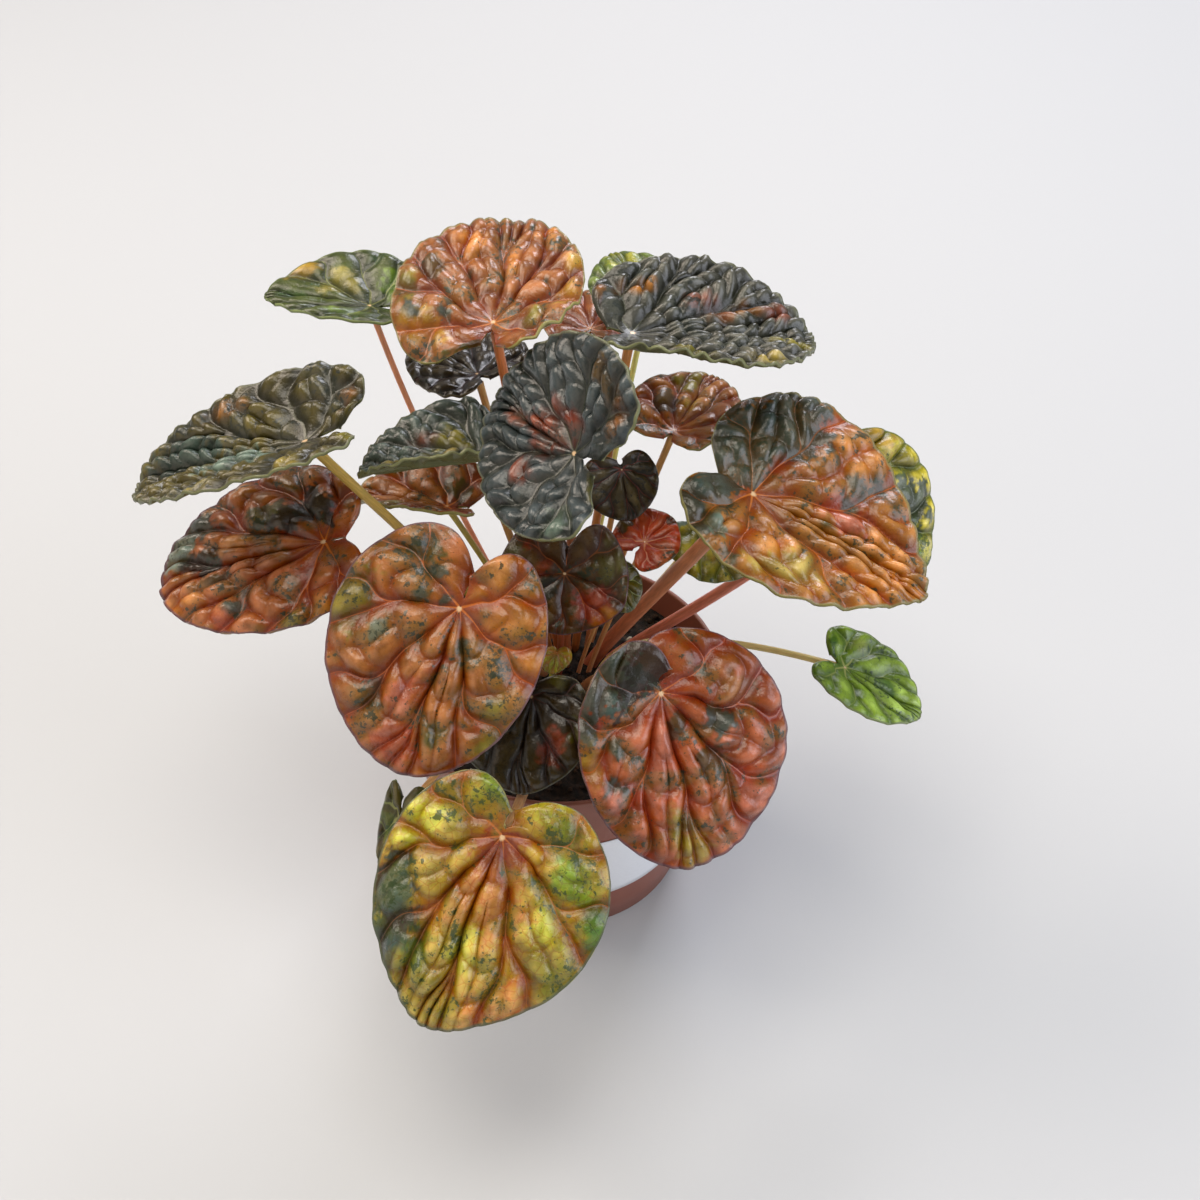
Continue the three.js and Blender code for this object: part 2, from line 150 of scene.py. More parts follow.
leafForm = {
    "slitFrom": 0.26, "slitOpens": 0.12,     # share of the way out where the notch's slit starts
    "notchDepth": 0.6, "notchWidth": 18,
    "veins": 4,                              # ridges on each side of the midrib
    "ridgeHeight": 3.2, "ridgeShare": 0.071, "ridgeSlope": 0.28,
    "forkFrom": 0.42, "forkVaries": 0.16, "forkWidth": 0.24,
    "creaseRound": 0.3, "creaseWidth": 1.5,  # millimetres, how softly a vein's furrow turns
    "crestRound": 0.34,                      # share of the height that goes into a round crest
    "chevron": 0.75,                         # how far cross furrows run outwards at mid-ridge
    "marginLow": 0.35, "marginFrom": 0.86,   # how far, and from where, the ridges sink to the margin
    "notchLow": 0.3,                         # how far they sink beside the notch
    "thickness": 0.8, "rimDroop": 0.5,
    "grids": [(1400, 230, 72), (380, 140, 42), (0, 84, 26)],
}

# pigments that lie in patches on the blades
pigments = {
    "lime": "#a8a42c", "brightLime": "#b8b83a", "green": "#74902c", "deepGreen": "#4c6c30",
    "paleGreen": "#a0ac64", "olive": "#78702e", "darkOlive": "#4e4a1e", "gold": "#b0904a",
    "ochre": "#a86c20", "bronze": "#8c5616", "peach": "#bc8048", "salmon": "#ae7464",
    "mauve": "#804e40", "rust": "#985214", "crimson": "#96380e", "umber": "#503e20",
    "buff": "#a89860", "slate": "#3c4a44", "paleSlate": "#6a7a70", "night": "#26281e",
}
# these end in a sharp ragged line, the others fade out
crispPigments = {"slate", "night", "umber", "darkOlive", "paleSlate"}

plainLeaf = {
    "pitch": 0, "roll": 0, "rise": 4,
    "point": 0.3, "ahead": 0.22, "cross": 0, "twist": 0, "cup": 0, "fold": 0, "bends": [],
    "open": 168, "straight": 8, "bead": 7, "beadDepth": 0.5, "relief": 1, "patches": [],
    "splitFrom": 8, "splitDepth": 0.5,       # ridges wider than this get a furrow along their middle
    "stalkTints": ("#a86e4d", "#c39558"), "flecks": 0.5,
}

# Shapes and places are the solids' own, but for left_bronze's back, which is 0.7 mm shorter to stay
# clear of a neighbour's stalk. patches are (u, s, size, pigment), laid one over the other. bead is
# the spacing of the cross furrows along a ridge, in millimetres.
leaves = {
    "front_lime": dict(
        at=(-12, -78, 104), heading=-120, pitch=-40, roll=-15, long=49, back=16, left=30, right=25,
        point=0.4, ahead=0.25, cross=12, twist=-1.5, cup=-0.08, root=(10.6, -102), rise=-9, stalk=1.3,
        finish="lime", bead=9, beadDepth=0.6, flecks=0.75, ground="#a88a1e",
        patches=[
            (-0.6, 0.8, 0.2, "brightLime"), (-0.9, 0.9, 0.14, "green"), (-0.8, 0.7, 0.1, "lime"),
            (0.9, 0.9, 0.22, "lime"), (0.8, 0.75, 0.12, "green"), (0.6, 0.65, 0.15, "green"),
            (0.55, 0.85, 0.13, "green"), (0.5, 0.95, 0.1, "deepGreen"), (0.45, 0.65, 0.14, "brightLime"),
            (-0.4, 0.85, 0.17, "slate"), (-0.3, 0.85, 0.16, "slate"), (-0.25, 0.95, 0.15, "slate"),
            (-0.2, 0.75, 0.09, "deepGreen"), (-0.2, 0.9, 0.08, "olive"), (-0.05, 0.9, 0.2, "buff"),
            (0.2, 0.9, 0.16, "peach"), (0.35, 0.85, 0.12, "olive"), (0.1, 0.1, 0.2, "rust"),
            (0.2, 0.4, 0.16, "ochre"), (-0.4, 0.5, 0.1, "buff"), (-0.15, 0.4, 0.12, "ochre"),
            (0.05, 0.6, 0.12, "lime"),
        ],
        stalkTints=("#a86e4d", "#a87f54"),
    ),
    "front_red": dict(
        at=(25, -46, 118), heading=-70, pitch=-50, long=45, back=15, left=30, right=23,
        point=0.15, ahead=0.28, cross=35, twist=-3, cup=-0.08, root=(10.6, -67), rise=12, stalk=1.4,
        finish="rust", bead=8, beadDepth=0.62, ground="#9c4a12",
        patches=[
            (0.75, 0.65, 0.25, "rust"), (-0.9, 0.4, 0.24, "night"), (-0.9, 0.75, 0.38, "night"),
            (-0.75, 0.55, 0.2, "night"), (-0.7, 0.88, 0.28, "slate"),
            (-0.55, 0.9, 0.12, "slate"), (-0.15, 0.25, 0.12, "salmon"),
            (-0.12, 0.4, 0.13, "salmon"), (-0.2, 0.55, 0.14, "salmon"), (-0.45, 0.6, 0.06, "slate"),
            (-0.35, 0.8, 0.1, "slate"), (-0.3, 0.9, 0.12, "salmon"), (-0.45, 0.9, 0.09, "buff"),
            (0.1, 0.2, 0.07, "umber"), (0.4, 0.45, 0.1, "slate"), (0.2, 0.5, 0.09, "umber"),
            (0, 0.9, 0.12, "buff"), (-0.05, 0.75, 0.1, "olive"), (0.55, 0.65, 0.14, "bronze"),
            (0.25, 0.85, 0.12, "salmon"),
        ],
    ),
    "left_rust": dict(
        at=(-22, -39, 140), heading=-120, pitch=-42, roll=-15, long=42, back=20, left=23, right=29,
        point=0.1, ahead=0.2, open=174, cross=10, twist=1.4, cup=-0.1, root=(7.4, -137), rise=8, stalk=1.4,
        finish="rust", bead=8, beadDepth=0.65, flecks=0.7, ground="#985a14",
        patches=[
            (0.8, 0.55, 0.35, "ochre"), (0.55, 0.75, 0.28, "ochre"), (-0.5, 0.9, 0.2, "olive"),
            (-0.95, 0.95, 0.2, "rust"), (-0.8, 0.7, 0.13, "darkOlive"), (-0.6, 0.35, 0.06, "slate"),
            (-0.65, 0.15, 0.05, "slate"), (-0.8, 0.45, 0.07, "slate"), (-0.05, 0.9, 0.16, "salmon"),
            (-0.1, 0.6, 0.11, "salmon"), (0.1, 0.75, 0.08, "darkOlive"), (-0.2, 0.75, 0.09, "umber"),
            (0.35, 0.8, 0.08, "olive"), (0.3, 0.95, 0.09, "olive"), (0.25, 0.25, 0.05, "slate"),
            (-0.4, 0.6, 0.06, "paleSlate"), (0.05, 0.35, 0.08, "mauve"),
        ],
    ),
    "left_bronze": dict(
        at=(-58, -7, 130), heading=180, pitch=-17, roll=-20, long=48, back=13.3, left=21, right=24,
        point=0.1, ahead=0.2, open=176, cross=3, cup=-0.1, root=(10.4, -160), rise=10, stalk=1.2,
        finish="rust", bead=8, beadDepth=0.65, flecks=0.7, ground="#a05610",
        patches=[
            (-0.45, 0.95, 0.28, "bronze"), (-0.75, 0.85, 0.18, "bronze"), (-0.6, 0.5, 0.18, "night"),
            (-0.4, 0.4, 0.14, "night"), (-0.7, 0.3, 0.09, "night"), (-0.35, 0.55, 0.1, "darkOlive"),
            (-0.2, 0.95, 0.18, "slate"), (-0.1, 0.95, 0.14, "paleSlate"), (-0.05, 0.7, 0.14, "night"),
            (0, 0.85, 0.06, "ochre"), (0.1, 0.65, 0.06, "umber"), (-0.15, 0.55, 0.09, "peach"),
            (0.15, 0.9, 0.1, "peach"), (0.3, 0.75, 0.07, "slate"), (0.25, 0.6, 0.05, "umber"),
            (0.3, 0.9, 0.07, "salmon"), (0.4, 0.35, 0.08, "salmon"), (0.5, 0.95, 0.07, "olive"),
            (0.6, 0.9, 0.1, "peach"), (0.85, 0.6, 0.15, "rust"),
        ],
        stalkTints=("#95653e", "#ab9251"),
    ),
    "far_left_slate": dict(
        at=(-60, -1, 158), heading=178, pitch=-22, long=48, back=23, left=20, right=19,
        point=0, ahead=0.05, fold=0.5, root=(7.2, -167), rise=2, stalk=1.25,
        finish="slate", bead=4.6, beadDepth=0.75, relief=1.1, splitFrom=3.5, splitDepth=0.8,
        ground="#564e2a",
        patches=[
            (-0.35, 0.8, 0.08, "ochre"), (-0.85, 0.75, 0.1, "bronze"), (0.15, 0.4, 0.18, "paleSlate"),
            (0.35, 0.95, 0.1, "buff"), (0.6, 0.95, 0.1, "buff"), (0.85, 0.9, 0.1, "olive"),
            (-0.1, 0.7, 0.2, "slate"),
        ],
        stalkTints=("#a88038", "#b09448"),
    ),
    "back_left_green": dict(
        at=(-48, 43, 165), heading=170, long=28, back=16, left=10, right=16,
        point=0.4, ahead=0.1, fold=0.4, root=(10.4, 150), rise=-20, stalk=0.8,
        finish="green", bead=8, beadDepth=0.35, relief=0.8, ground="#404a18",
        patches=[(-0.25, 0.95, 0.15, "gold"), (0, 0.75, 0.12, "deepGreen"), (-0.8, 0.6, 0.22, "green"),
                 (0.5, 0.6, 0.15, "green"), (-0.3, 0.5, 0.18, "olive")],
        stalkTints=("#cd866a", "#dd9870"),
    ),
    "back_orange": dict(
        at=(-15, 19, 178), heading=83, pitch=5, roll=-3, long=38, back=19, left=25, right=21,
        point=0.1, fold=0.2, bends=[(150, 6, -3), (-140, 8, 5)], root=(3.4, 125), stalk=1.2,
        finish="amber", bead=6, beadDepth=0.6, relief=1.1, flecks=0.7, ground="#8e5626",
        patches=[
            (0.4, 0.75, 0.12, "umber"), (0.55, 0.9, 0.14, "olive"), (0.65, 0.8, 0.08, "slate"),
            (0.65, 0.5, 0.06, "slate"), (0.75, 0.7, 0.14, "gold"), (0.7, 0.9, 0.08, "gold"),
            (0.95, 0.9, 0.12, "darkOlive"), (-0.65, 0.5, 0.1, "olive"), (-0.55, 0.8, 0.12, "gold"),
            (-0.4, 0.95, 0.09, "gold"), (0.55, 0.45, 0.05, "slate"), (0.2, 0.75, 0.13, "peach"),
            (-0.05, 0.5, 0.09, "peach"), (-0.2, 0.9, 0.1, "peach"), (0.05, 0.8, 0.03, "slate"),
            (-0.1, 0.9, 0.03, "slate"), (-0.4, 0.6, 0.03, "slate"), (-0.25, 0.65, 0.03, "slate"),
            (0.25, 0.5, 0.03, "slate"), (0.3, 0.9, 0.03, "slate"),
        ],
        stalkTints=("#95522a", "#b36735"),
    ),
    "back_umber": dict(
        at=(-21, 34, 150), heading=130, pitch=-10, long=27, back=9, left=13, right=18,
        root=(7, 128), stalk=1, finish="umber", ground="#3c2e10", bead=4.5, beadDepth=0.7, relief=1.1,
        splitFrom=3.5, splitDepth=0.8,
    ),
    "upper_left_slate": dict(
        at=(-19, 5, 147), heading=-178, pitch=-8, roll=20, long=31, back=7, left=11, right=16,
        point=0.1, ahead=0.15, fold=0.8, root=(3.4, -165), stalk=1,
        finish="slate", bead=3.8, beadDepth=0.75, relief=1.15, splitFrom=3.5, splitDepth=0.8,
        ground="#525c56",
        patches=[(-0.25, 0.6, 0.08, "mauve"), (-0.35, 0.4, 0.14, "olive"), (0.5, 0.95, 0.12, "buff"),
                 (0.25, 0.9, 0.1, "buff"), (0.8, 0.8, 0.12, "bronze")],
        stalkTints=("#956035", "#a87f46"),
    ),
    "centre_slate": dict(
        at=(5, -19, 170), heading=125, pitch=-12, roll=-48, long=35, back=23, left=22, right=26,
        ahead=0.05, fold=0.3, root=(3.4, -95), rise=6, stalk=1.2,
        finish="slate", bead=5.2, beadDepth=0.7, relief=1.1, splitFrom=3.5, splitDepth=0.8,
        ground="#3c4446",
        patches=[
            (-0.15, 0.2, 0.14, "mauve"), (-0.05, 0.4, 0.1, "mauve"), (0, 0.65, 0.08, "salmon"),
            (-0.4, 0.25, 0.08, "crimson"), (-0.25, 0.4, 0.08, "mauve"), (0.35, 0.55, 0.09, "mauve"),
            (-0.8, 0.7, 0.12, "bronze"), (-0.7, 0.75, 0.12, "umber"), (-0.6, 0.8, 0.1, "umber"),
            (0.75, 0.8, 0.16, "paleSlate"), (0.95, 0.9, 0.12, "darkOlive"), (0.2, 0.35, 0.06, "mauve"),
        ],
        stalkTints=("#975635", "#a8623b"),
    ),
    "back_right_slate": dict(
        at=(18, 15, 178), heading=8, pitch=-10, long=46, back=15, left=22, right=21,
        ahead=0.35, fold=0.4, bends=[(-110, 8, 3)], root=(3.4, 55), stalk=1.15,
        finish="slate", bead=4.4, beadDepth=0.78, relief=1.15, splitFrom=3.5, splitDepth=0.8,
        ground="#505048",
        patches=[
            (0.85, 0.85, 0.05, "bronze"), (0.75, 0.7, 0.05, "ochre"), (0.65, 0.55, 0.05, "peach"),
            (0.3, 0.5, 0.08, "mauve"), (0.2, 0.55, 0.05, "rust"), (0.15, 0.85, 0.06, "mauve"),
            (0.2, 0.7, 0.05, "bronze"), (0.1, 0.7, 0.09, "night"), (-0.35, 0.95, 0.1, "buff"),
            (-0.6, 0.9, 0.1, "olive"), (-0.1, 0.9, 0.1, "olive"),
        ],
        stalkTints=("#975e30", "#be7f42"),
    ),
    "back_green": dict(
        at=(23, 46, 165), heading=113, long=22, back=9, left=13, right=13,
        root=(8.4, 70), stalk=0.8, finish="green", bead=5, ground="#6c7a44",
        patches=[(0, 0.8, 0.3, "lime"), (0.5, 0.6, 0.2, "slate")], stalkTints=("#bcc06a", "#d7d37b"),
    ),
    "back_bronze": dict(
        at=(8, 53, 150), heading=100, long=17, back=9, left=12, right=12,
        root=(7.2, 95), stalk=0.8, finish="amber", ground="#8a5228", bead=4,
    ),
    "curled_amber": dict(
        at=(29, 12, 150), heading=63, long=24, back=9, left=14, right=14,
        fold=0.3, root=(8, 42), stalk=0.9, finish="amber", bead=4.5, beadDepth=0.6,
        ground="#a4641a",
        patches=[(0.35, 0.5, 0.2, "umber"), (-0.6, 0.2, 0.2, "ochre"), (-0.4, 0.7, 0.25, "rust"),
                 (0.15, 0.8, 0.2, "olive"), (0.45, 0.85, 0.15, "rust"), (0, 0.4, 0.12, "gold"),
                 (0, 0.7, 0.1, "gold")],
    ),
    "right_salmon": dict(
        at=(47, -11, 150), heading=-22, pitch=-22, roll=8, long=49, back=19, left=32, right=24,
        point=0.65, ahead=0.12, open=176, cross=8, twist=-1, fold=0.15, root=(5.6, -22), rise=0, stalk=2,
        finish="amber", bead=6.5, beadDepth=0.62, relief=1.1, splitFrom=4.5, splitDepth=0.75, flecks=0.7,
        ground="#9c6a34",
        patches=[
            (0.4, 0.85, 0.16, "peach"), (0.7, 0.55, 0.34, "slate"), (0.9, 0.85, 0.36, "slate"),
            (0.6, 0.85, 0.28, "slate"), (0.5, 0.65, 0.16, "slate"), (0.8, 0.25, 0.16, "slate"),
            (0.5, 0.45, 0.09, "slate"), (0.45, 0.3, 0.08, "rust"), (0.2, 0.55, 0.14, "salmon"),
            (0.1, 0.8, 0.12, "peach"), (-0.05, 0.9, 0.12, "peach"), (0.3, 0.7, 0.06, "slate"),
            (0.3, 0.85, 0.05, "slate"), (0.25, 0.6, 0.05, "slate"), (0.25, 0.9, 0.04, "umber"),
            (0.1, 0.4, 0.03, "darkOlive"), (-0.35, 0.7, 0.15, "buff"), (-0.2, 0.8, 0.14, "peach"),
            (-0.45, 0.8, 0.1, "buff"), (-0.95, 0.6, 0.4, "slate"), (-0.75, 0.9, 0.25, "slate"),
            # the two paleSlate patches on the near slate lobe are painted highlights, pale spots where light
            # shines off it
            (-0.65, 0.75, 0.1, "paleSlate"), (-0.55, 0.9, 0.08, "paleSlate"), (-0.75, 0.65, 0.05, "buff"),
            (-0.45, 0.5, 0.12, "peach"),
        ],
        stalkTints=("#a85b42", "#be7f58"),
    ),
    "right_olive": dict(
        at=(74, 8, 131), heading=-15, pitch=-47, roll=25, long=32, back=14, left=24, right=23,
        root=(9.4, -3), rise=-9, stalk=1.6, finish="green", bead=6, ground="#c8b83c",
        patches=[(0.3, 0.7, 0.24, "slate"), (0.1, 0.65, 0.18, "deepGreen"), (-0.35, 0.95, 0.2, "paleSlate"),
                 (0.75, 0.85, 0.28, "gold"), (0.5, 0.8, 0.1, "olive")],
        stalkTints=("#bc6e58", "#cd7d65"),
    ),
    "right_pale": dict(
        at=(38, 14, 114), heading=-30, pitch=-24, roll=12, long=17, back=12, left=17, right=13,
        root=(8, 12.5), rise=-2, stalk=1, finish="green", bead=5, ground="#a89c50",
        patches=[(-0.25, 0.6, 0.14, "ochre"), (-0.2, 0.95, 0.2, "buff"), (-0.95, 0.9, 0.3, "paleSlate"),
                 (0.3, 0.7, 0.2, "paleGreen")],
        stalkTints=("#d7b980", "#e9d196"),
    ),
    "low_right_green": dict(
        at=(74, -18, 95), heading=-22, pitch=-25, long=24, back=13, left=13, right=12,
        point=0.4, fold=0.2, open=163, straight=30, root=(10.8, -36), rise=15, stalk=0.9,
        finish="green", bead=7, beadDepth=0.3, relief=0.8, ground="#98b05e",
        patches=[(0.1, 0.5, 0.15, "deepGreen"), (-0.4, 0.5, 0.12, "green"), (0.6, 0.6, 0.14, "paleGreen"),
                 (0.9, 0.7, 0.15, "deepGreen")],
        stalkTints=("#e0ca96", "#cdb977"),
    ),
    "inner_umber": dict(
        at=(16, 9, 140), heading=-75, pitch=-48, long=13, back=6, left=9, right=11,
        root=(6.2, 30), rise=2, stalk=0.8, finish="umber", bead=4, ground="#5c5238",
    ),
    "centre_crimson": dict(
        at=(2, -18, 130), heading=-100, pitch=-42, long=15, back=16, left=16, right=17,
        open=176, cross=4, twist=0.6,
        root=(7, -108), rise=6, stalk=0.9, finish="rust", bead=4.5, beadDepth=0.6, ground="#52380e",
        patches=[
            (-0.8, 0.9, 0.22, "crimson"), (-0.65, 0.95, 0.18, "darkOlive"), (-0.35, 0.5, 0.3, "night"),
            (-0.6, 0.35, 0.1, "mauve"), (0.3, 0.65, 0.28, "crimson"), (0.65, 0.8, 0.3, "darkOlive"),
            (0.3, 0.95, 0.14, "peach"), (-0.1, 0.8, 0.12, "umber"),
        ],
        stalkTints=("#6e3523", "#95462a"),
    ),
    "inner_olive": dict(
        at=(15, -8, 118), heading=-60, pitch=-45, long=9, back=5, left=6, right=6,
        root=(6.8, -66), stalk=0.6, finish="green", bead=4, ground="#74641c",
    ),
    "inner_orange": dict(
        at=(22, 0, 123), heading=40, pitch=15, roll=15, long=10, back=9, left=9, right=8,
        root=(8.4, -50), rise=2, stalk=0.7, finish="amber", bead=4, ground="#cc5206",
        patches=[(0, 0.9, 0.2, "umber"), (0.6, 0.8, 0.2, "darkOlive")],
    ),
    "left_amber": dict(
        at=(-29, 12, 124), heading=165, pitch=-5, roll=10, long=26, back=14, left=12, right=14,
        fold=0.7, root=(7.2, 165), stalk=0.8, finish="amber", bead=6, ground="#94581c",
        patches=[(-0.35, 0.95, 0.2, "darkOlive"), (-0.75, 0.4, 0.2, "darkOlive"), (0.4, 0.9, 0.15, "olive")],
        stalkTints=("#978b46", "#ab9e4f"),
    ),
    "front_umber": dict(
        at=(-6, -42, 112), heading=-105, pitch=-52, long=25, back=10, left=16, right=20,
        root=(10.2, -86), rise=5, stalk=1, finish="umber", bead=7, beadDepth=0.5, ground="#3c3220",
        patches=[(0.3, 0.65, 0.15, "crimson"), (0.85, 0.8, 0.22, "darkOlive"), (0.5, 0.8, 0.15, "darkOlive")],
    ),
    "front_rolled": dict(
        at=(-38, -64, 92), heading=-110, pitch=-60, long=20, back=14, left=8, right=5,
        root=(10.6, -122), rise=12, stalk=0.8, finish="green", ground="#6a6038", bead=5,
        patches=[(0.2, 0.7, 0.25, "ochre"), (-0.5, 0.8, 0.2, "umber")],
    ),
    "sprout": dict(
        at=(-1, -3, 84), heading=-100, pitch=-5, roll=10, long=7, back=3, left=4, right=4,
        root=(14, -114), rise=0, stalk=0.5, finish="lime", ground="#b8cc34", bead=3,
        stalkTints=("#a8b246", "#b5c046"),
    ),
}
nodeNames = {"left_bronze": "left_teal"}      # the solid keeps an earlier name
for number, (leafName, leaf) in enumerate(leaves.items()):
    leaves[leafName] = {**plainLeaf, **leaf, "seed": number + 1}


def bladeAxes(leaf):            # the blade's own axes: forward to the tip, left, and up out of its face
    heading, pitch, roll = (math.radians(leaf[key]) for key in ("heading", "pitch", "roll"))
    forward = Vector((math.cos(pitch) * math.cos(heading), math.cos(pitch) * math.sin(heading),
                      math.sin(pitch)))
    left = Matrix.Rotation(roll, 3, forward) @ Vector((-math.sin(heading), math.cos(heading), 0))
    return np.array(forward), np.array(left), np.array(forward.cross(left))


def slitOpening(s):             # 0 where the notch's edges still touch, 1 where they have parted
    return smooth((s - leafForm["slitFrom"]) / leafForm["slitOpens"])


def flatPlace(leaf, s, u):      # the flat heart shape
    form = leafForm
    turn = 180 + (leaf["open"] + leaf["cross"] * s * s - 180) * slitOpening(s)
    angle = np.radians(u * turn)
    along = np.cos(angle)
    ahead = leaf["ahead"] * leaf["long"]
    reach = np.where(along > 0, leaf["long"] - ahead, leaf["back"] + ahead)
    side = np.where(u >= 0, leaf["left"], leaf["right"])
    narrowing = 1 - leaf["point"] * np.maximum(along, 0) ** 3
    fromNotch = (1 - np.abs(u)) * 180 / form["notchWidth"]
    share = s * (1 - form["notchDepth"] * np.exp(-fromNotch ** 2))
    return share * (ahead + reach * along), share * side * np.sin(angle) * narrowing


def forkShare(vein, side, s, seed):   # how far a vein's two branches have parted at s
    form = leafForm
    start = form["forkFrom"] + form["forkVaries"] * chance(vein, side, seed)
    return form["forkWidth"] * smooth((s - start) / (0.95 - start)) * (vein < form["veins"])


def veinNet(leaf, s, u, x, y):
    # Height of the ridges between the veins, and where each point lies in the net of veins.
    form, seed = leafForm, leaf["seed"]
    out = np.hypot(x, y)
    bow = 0.020 * np.sin(5.1 * s + 7 * u + seed) + 0.012 * np.sin(13 * s - 5 * u + 2.3 * seed)
    bowed = u + bow * (1 - u ** 4) * smooth(s / 0.3)
    rank = form["veins"] * np.abs(bowed)
    side = np.where(bowed >= 0, 1, -1)
    vein = np.round(rank)
    offset = rank - vein
    beside = vein + np.sign(offset)
    here = forkShare(vein, side, s, seed)
    there = forkShare(beside, side, s, seed)
    broad = math.radians(180 / (form["veins"] + 0.3)) * out      # millimetres from vein to vein
    inner = np.abs(offset) < here
    midrib = inner & (vein == 0)
    low = np.where(inner, np.where(midrib, 0, -here), here)
    high = np.where(inner, here, 1 - there)
    width = np.maximum(high - low, 0.001)
    across = np.where(inner & ~midrib, offset, np.abs(offset))
    rise = np.sin(np.pi * np.clip((across - low) / width, 0, 1))
    bank = width * broad * rise / np.pi
    creaseWidth = form["creaseWidth"] * (0.5 + 0.5 * min(1, leaf["long"] / 45))
    dome = 1 - np.exp(-bank ** 2 / ((bank + form["creaseRound"]) * creaseWidth))
    dome = dome * (1 - form["crestRound"] * (1 - rise))
    twin = np.abs(np.sin(2 * np.pi * np.clip((across - low) / width, 0, 1)))
    split = smooth((width * broad - leaf["splitFrom"]) / 7) * (1 - twin) ** 1.4
    dome = dome * (1 - leaf["splitDepth"] * split)
    # cross furrows part each ridge into a row of pillows
    cell = np.where(inner, vein + 0.37, np.minimum(vein, beside))
    phase = (out - form["chevron"] * bank) / leaf["bead"] + 3 * chance(cell, side, seed)
    phase = phase + 0.2 * wander(x, y, 2.2 * leaf["bead"], seed)
    strength = 0.55 + 0.45 * chance(cell, np.round(phase), side, seed)
    furrow = (1 - np.abs(np.sin(np.pi * phase))) ** 1.2 * strength * smooth((out - 3) / 6)
    swell = 1 + 0.12 * (2 * chance(cell, np.floor(phase), side, seed + 2) - 1) * (1 - furrow)
    beads = (1 - leaf["beadDepth"] * furrow) * swell
    atMargin = 1 - form["marginLow"] * smooth((s - form["marginFrom"]) / (1 - form["marginFrom"]))
    atNotch = 1 - form["notchLow"] * smooth((rank - 2.9) / 0.8) * (1 - s * s)
    full = np.minimum(min(form["ridgeHeight"], form["ridgeShare"] * leaf["long"]), form["ridgeSlope"] * out)
    lumps = 0.06 * wander(x, y, 4.2, seed + 6) + 0.02 * wander(x, y, 2.6, seed + 4)
    height = leaf["relief"] * full * (dome * beads * atMargin * atNotch + lumps * dome)
    net = np.stack([rank * side, np.where(vein < form["veins"], here, -2), broad], -1)
    return height, dome * beads, net


def bent(x, y, z, direction, start, rate):   # rolls what lies beyond a straight line up or down
    dx, dy = math.cos(math.radians(direction)), math.sin(math.radians(direction))
    beyond = x * dx + y * dy - start
    radius = 1 / math.radians(rate)
    angle = beyond / radius
    shift = np.where(beyond > 0, np.sin(angle) * (radius - z) - beyond, 0)
    return x + shift * dx, y + shift * dy, np.where(beyond > 0, radius - np.cos(angle) * (radius - z), z)


def paint(leaf, s, u, x, y):   # the blade's colour: its ground with its patches over it
    turn = 0.88 * leaf["open"]              # keeps a patch on one lobe off the other
    angle = np.radians(u * turn)
    px, py = s * np.cos(angle), s * np.sin(angle)
    colour = np.tile(np.array(linear(leaf["ground"])), (len(s), 1))
    for number, (patchU, patchS, size, pigment) in enumerate(leaf["patches"]):
        turned = math.radians(patchU * turn)
        away = np.hypot(px - patchS * math.cos(turned), py - patchS * math.sin(turned))
        seed = leaf["seed"] + 3.1 * number
        ragged = 0.07 * wander(x, y, 9, seed) + 0.06 * wander(x, y, 4, seed) + 0.05 * wander(x, y, 2, seed)
        edge = 0.05 if pigment in crispPigments else 0.13
        cover = 0.94 * smooth((size + ragged * min(1, 4 * size) - away) / edge + 0.6)[:, None]
        colour = colour * (1 - cover) + np.array(linear(pigments[pigment])) * cover
    return colour


# Peperomia leaf: a fleshy blade under a thin waxy skin. Each kind has the tint of the painted shade that
# darkens its furrows, which also colours its finest veins, the colours of its veins, flecks, margin and
# underside, the haze that drifts round the flecks, and how strongly the net of its finest veins shows.
leafFinishes = {
    "lime": dict(furrow="#e8a450", vein="#b8682c", outerVein="#a8602c", fleck="#31421c",
                 margin="#50583f", under="#a9a25a", haze="#6c7424", net=0.45),
    "rust": dict(furrow="#e4a858", vein="#c46c20", outerVein="#ac4c18", fleck="#26301f",
                 margin="#5e4048", under="#8f7248", haze="#645420", net=0.22),
    "slate": dict(furrow="#808468", vein="#6a6c4c", outerVein="#2c3028", fleck="#20261f",
                  margin="#5e604a", under="#74774c", haze="#3c443c", net=0.15),
    "green": dict(furrow="#a0b060", vein="#a8a860", outerVein="#748444", fleck="#2c4420",
                  margin="#5d6a3c", under="#87955c", haze="#586c30", net=0.3),
    "umber": dict(furrow="#8c6840", vein="#94301c", outerVein="#6c1c10", fleck="#14160f",
                  margin="#4a4a38", under="#5c4c30", haze="#2c2818", net=0.1),
    "amber": dict(furrow="#e8ac60", vein="#c47428", outerVein="#b05420", fleck="#2a3422",
                  margin="#80784c", under="#84803f", haze="#84602c", net=0.22),
}

# settings that many nodes share: a value that eases in and out, and a mix of two colours
eased = {"interpolation_type": "SMOOTHSTEP"}
mixed = {"data_type": "RGBA"}


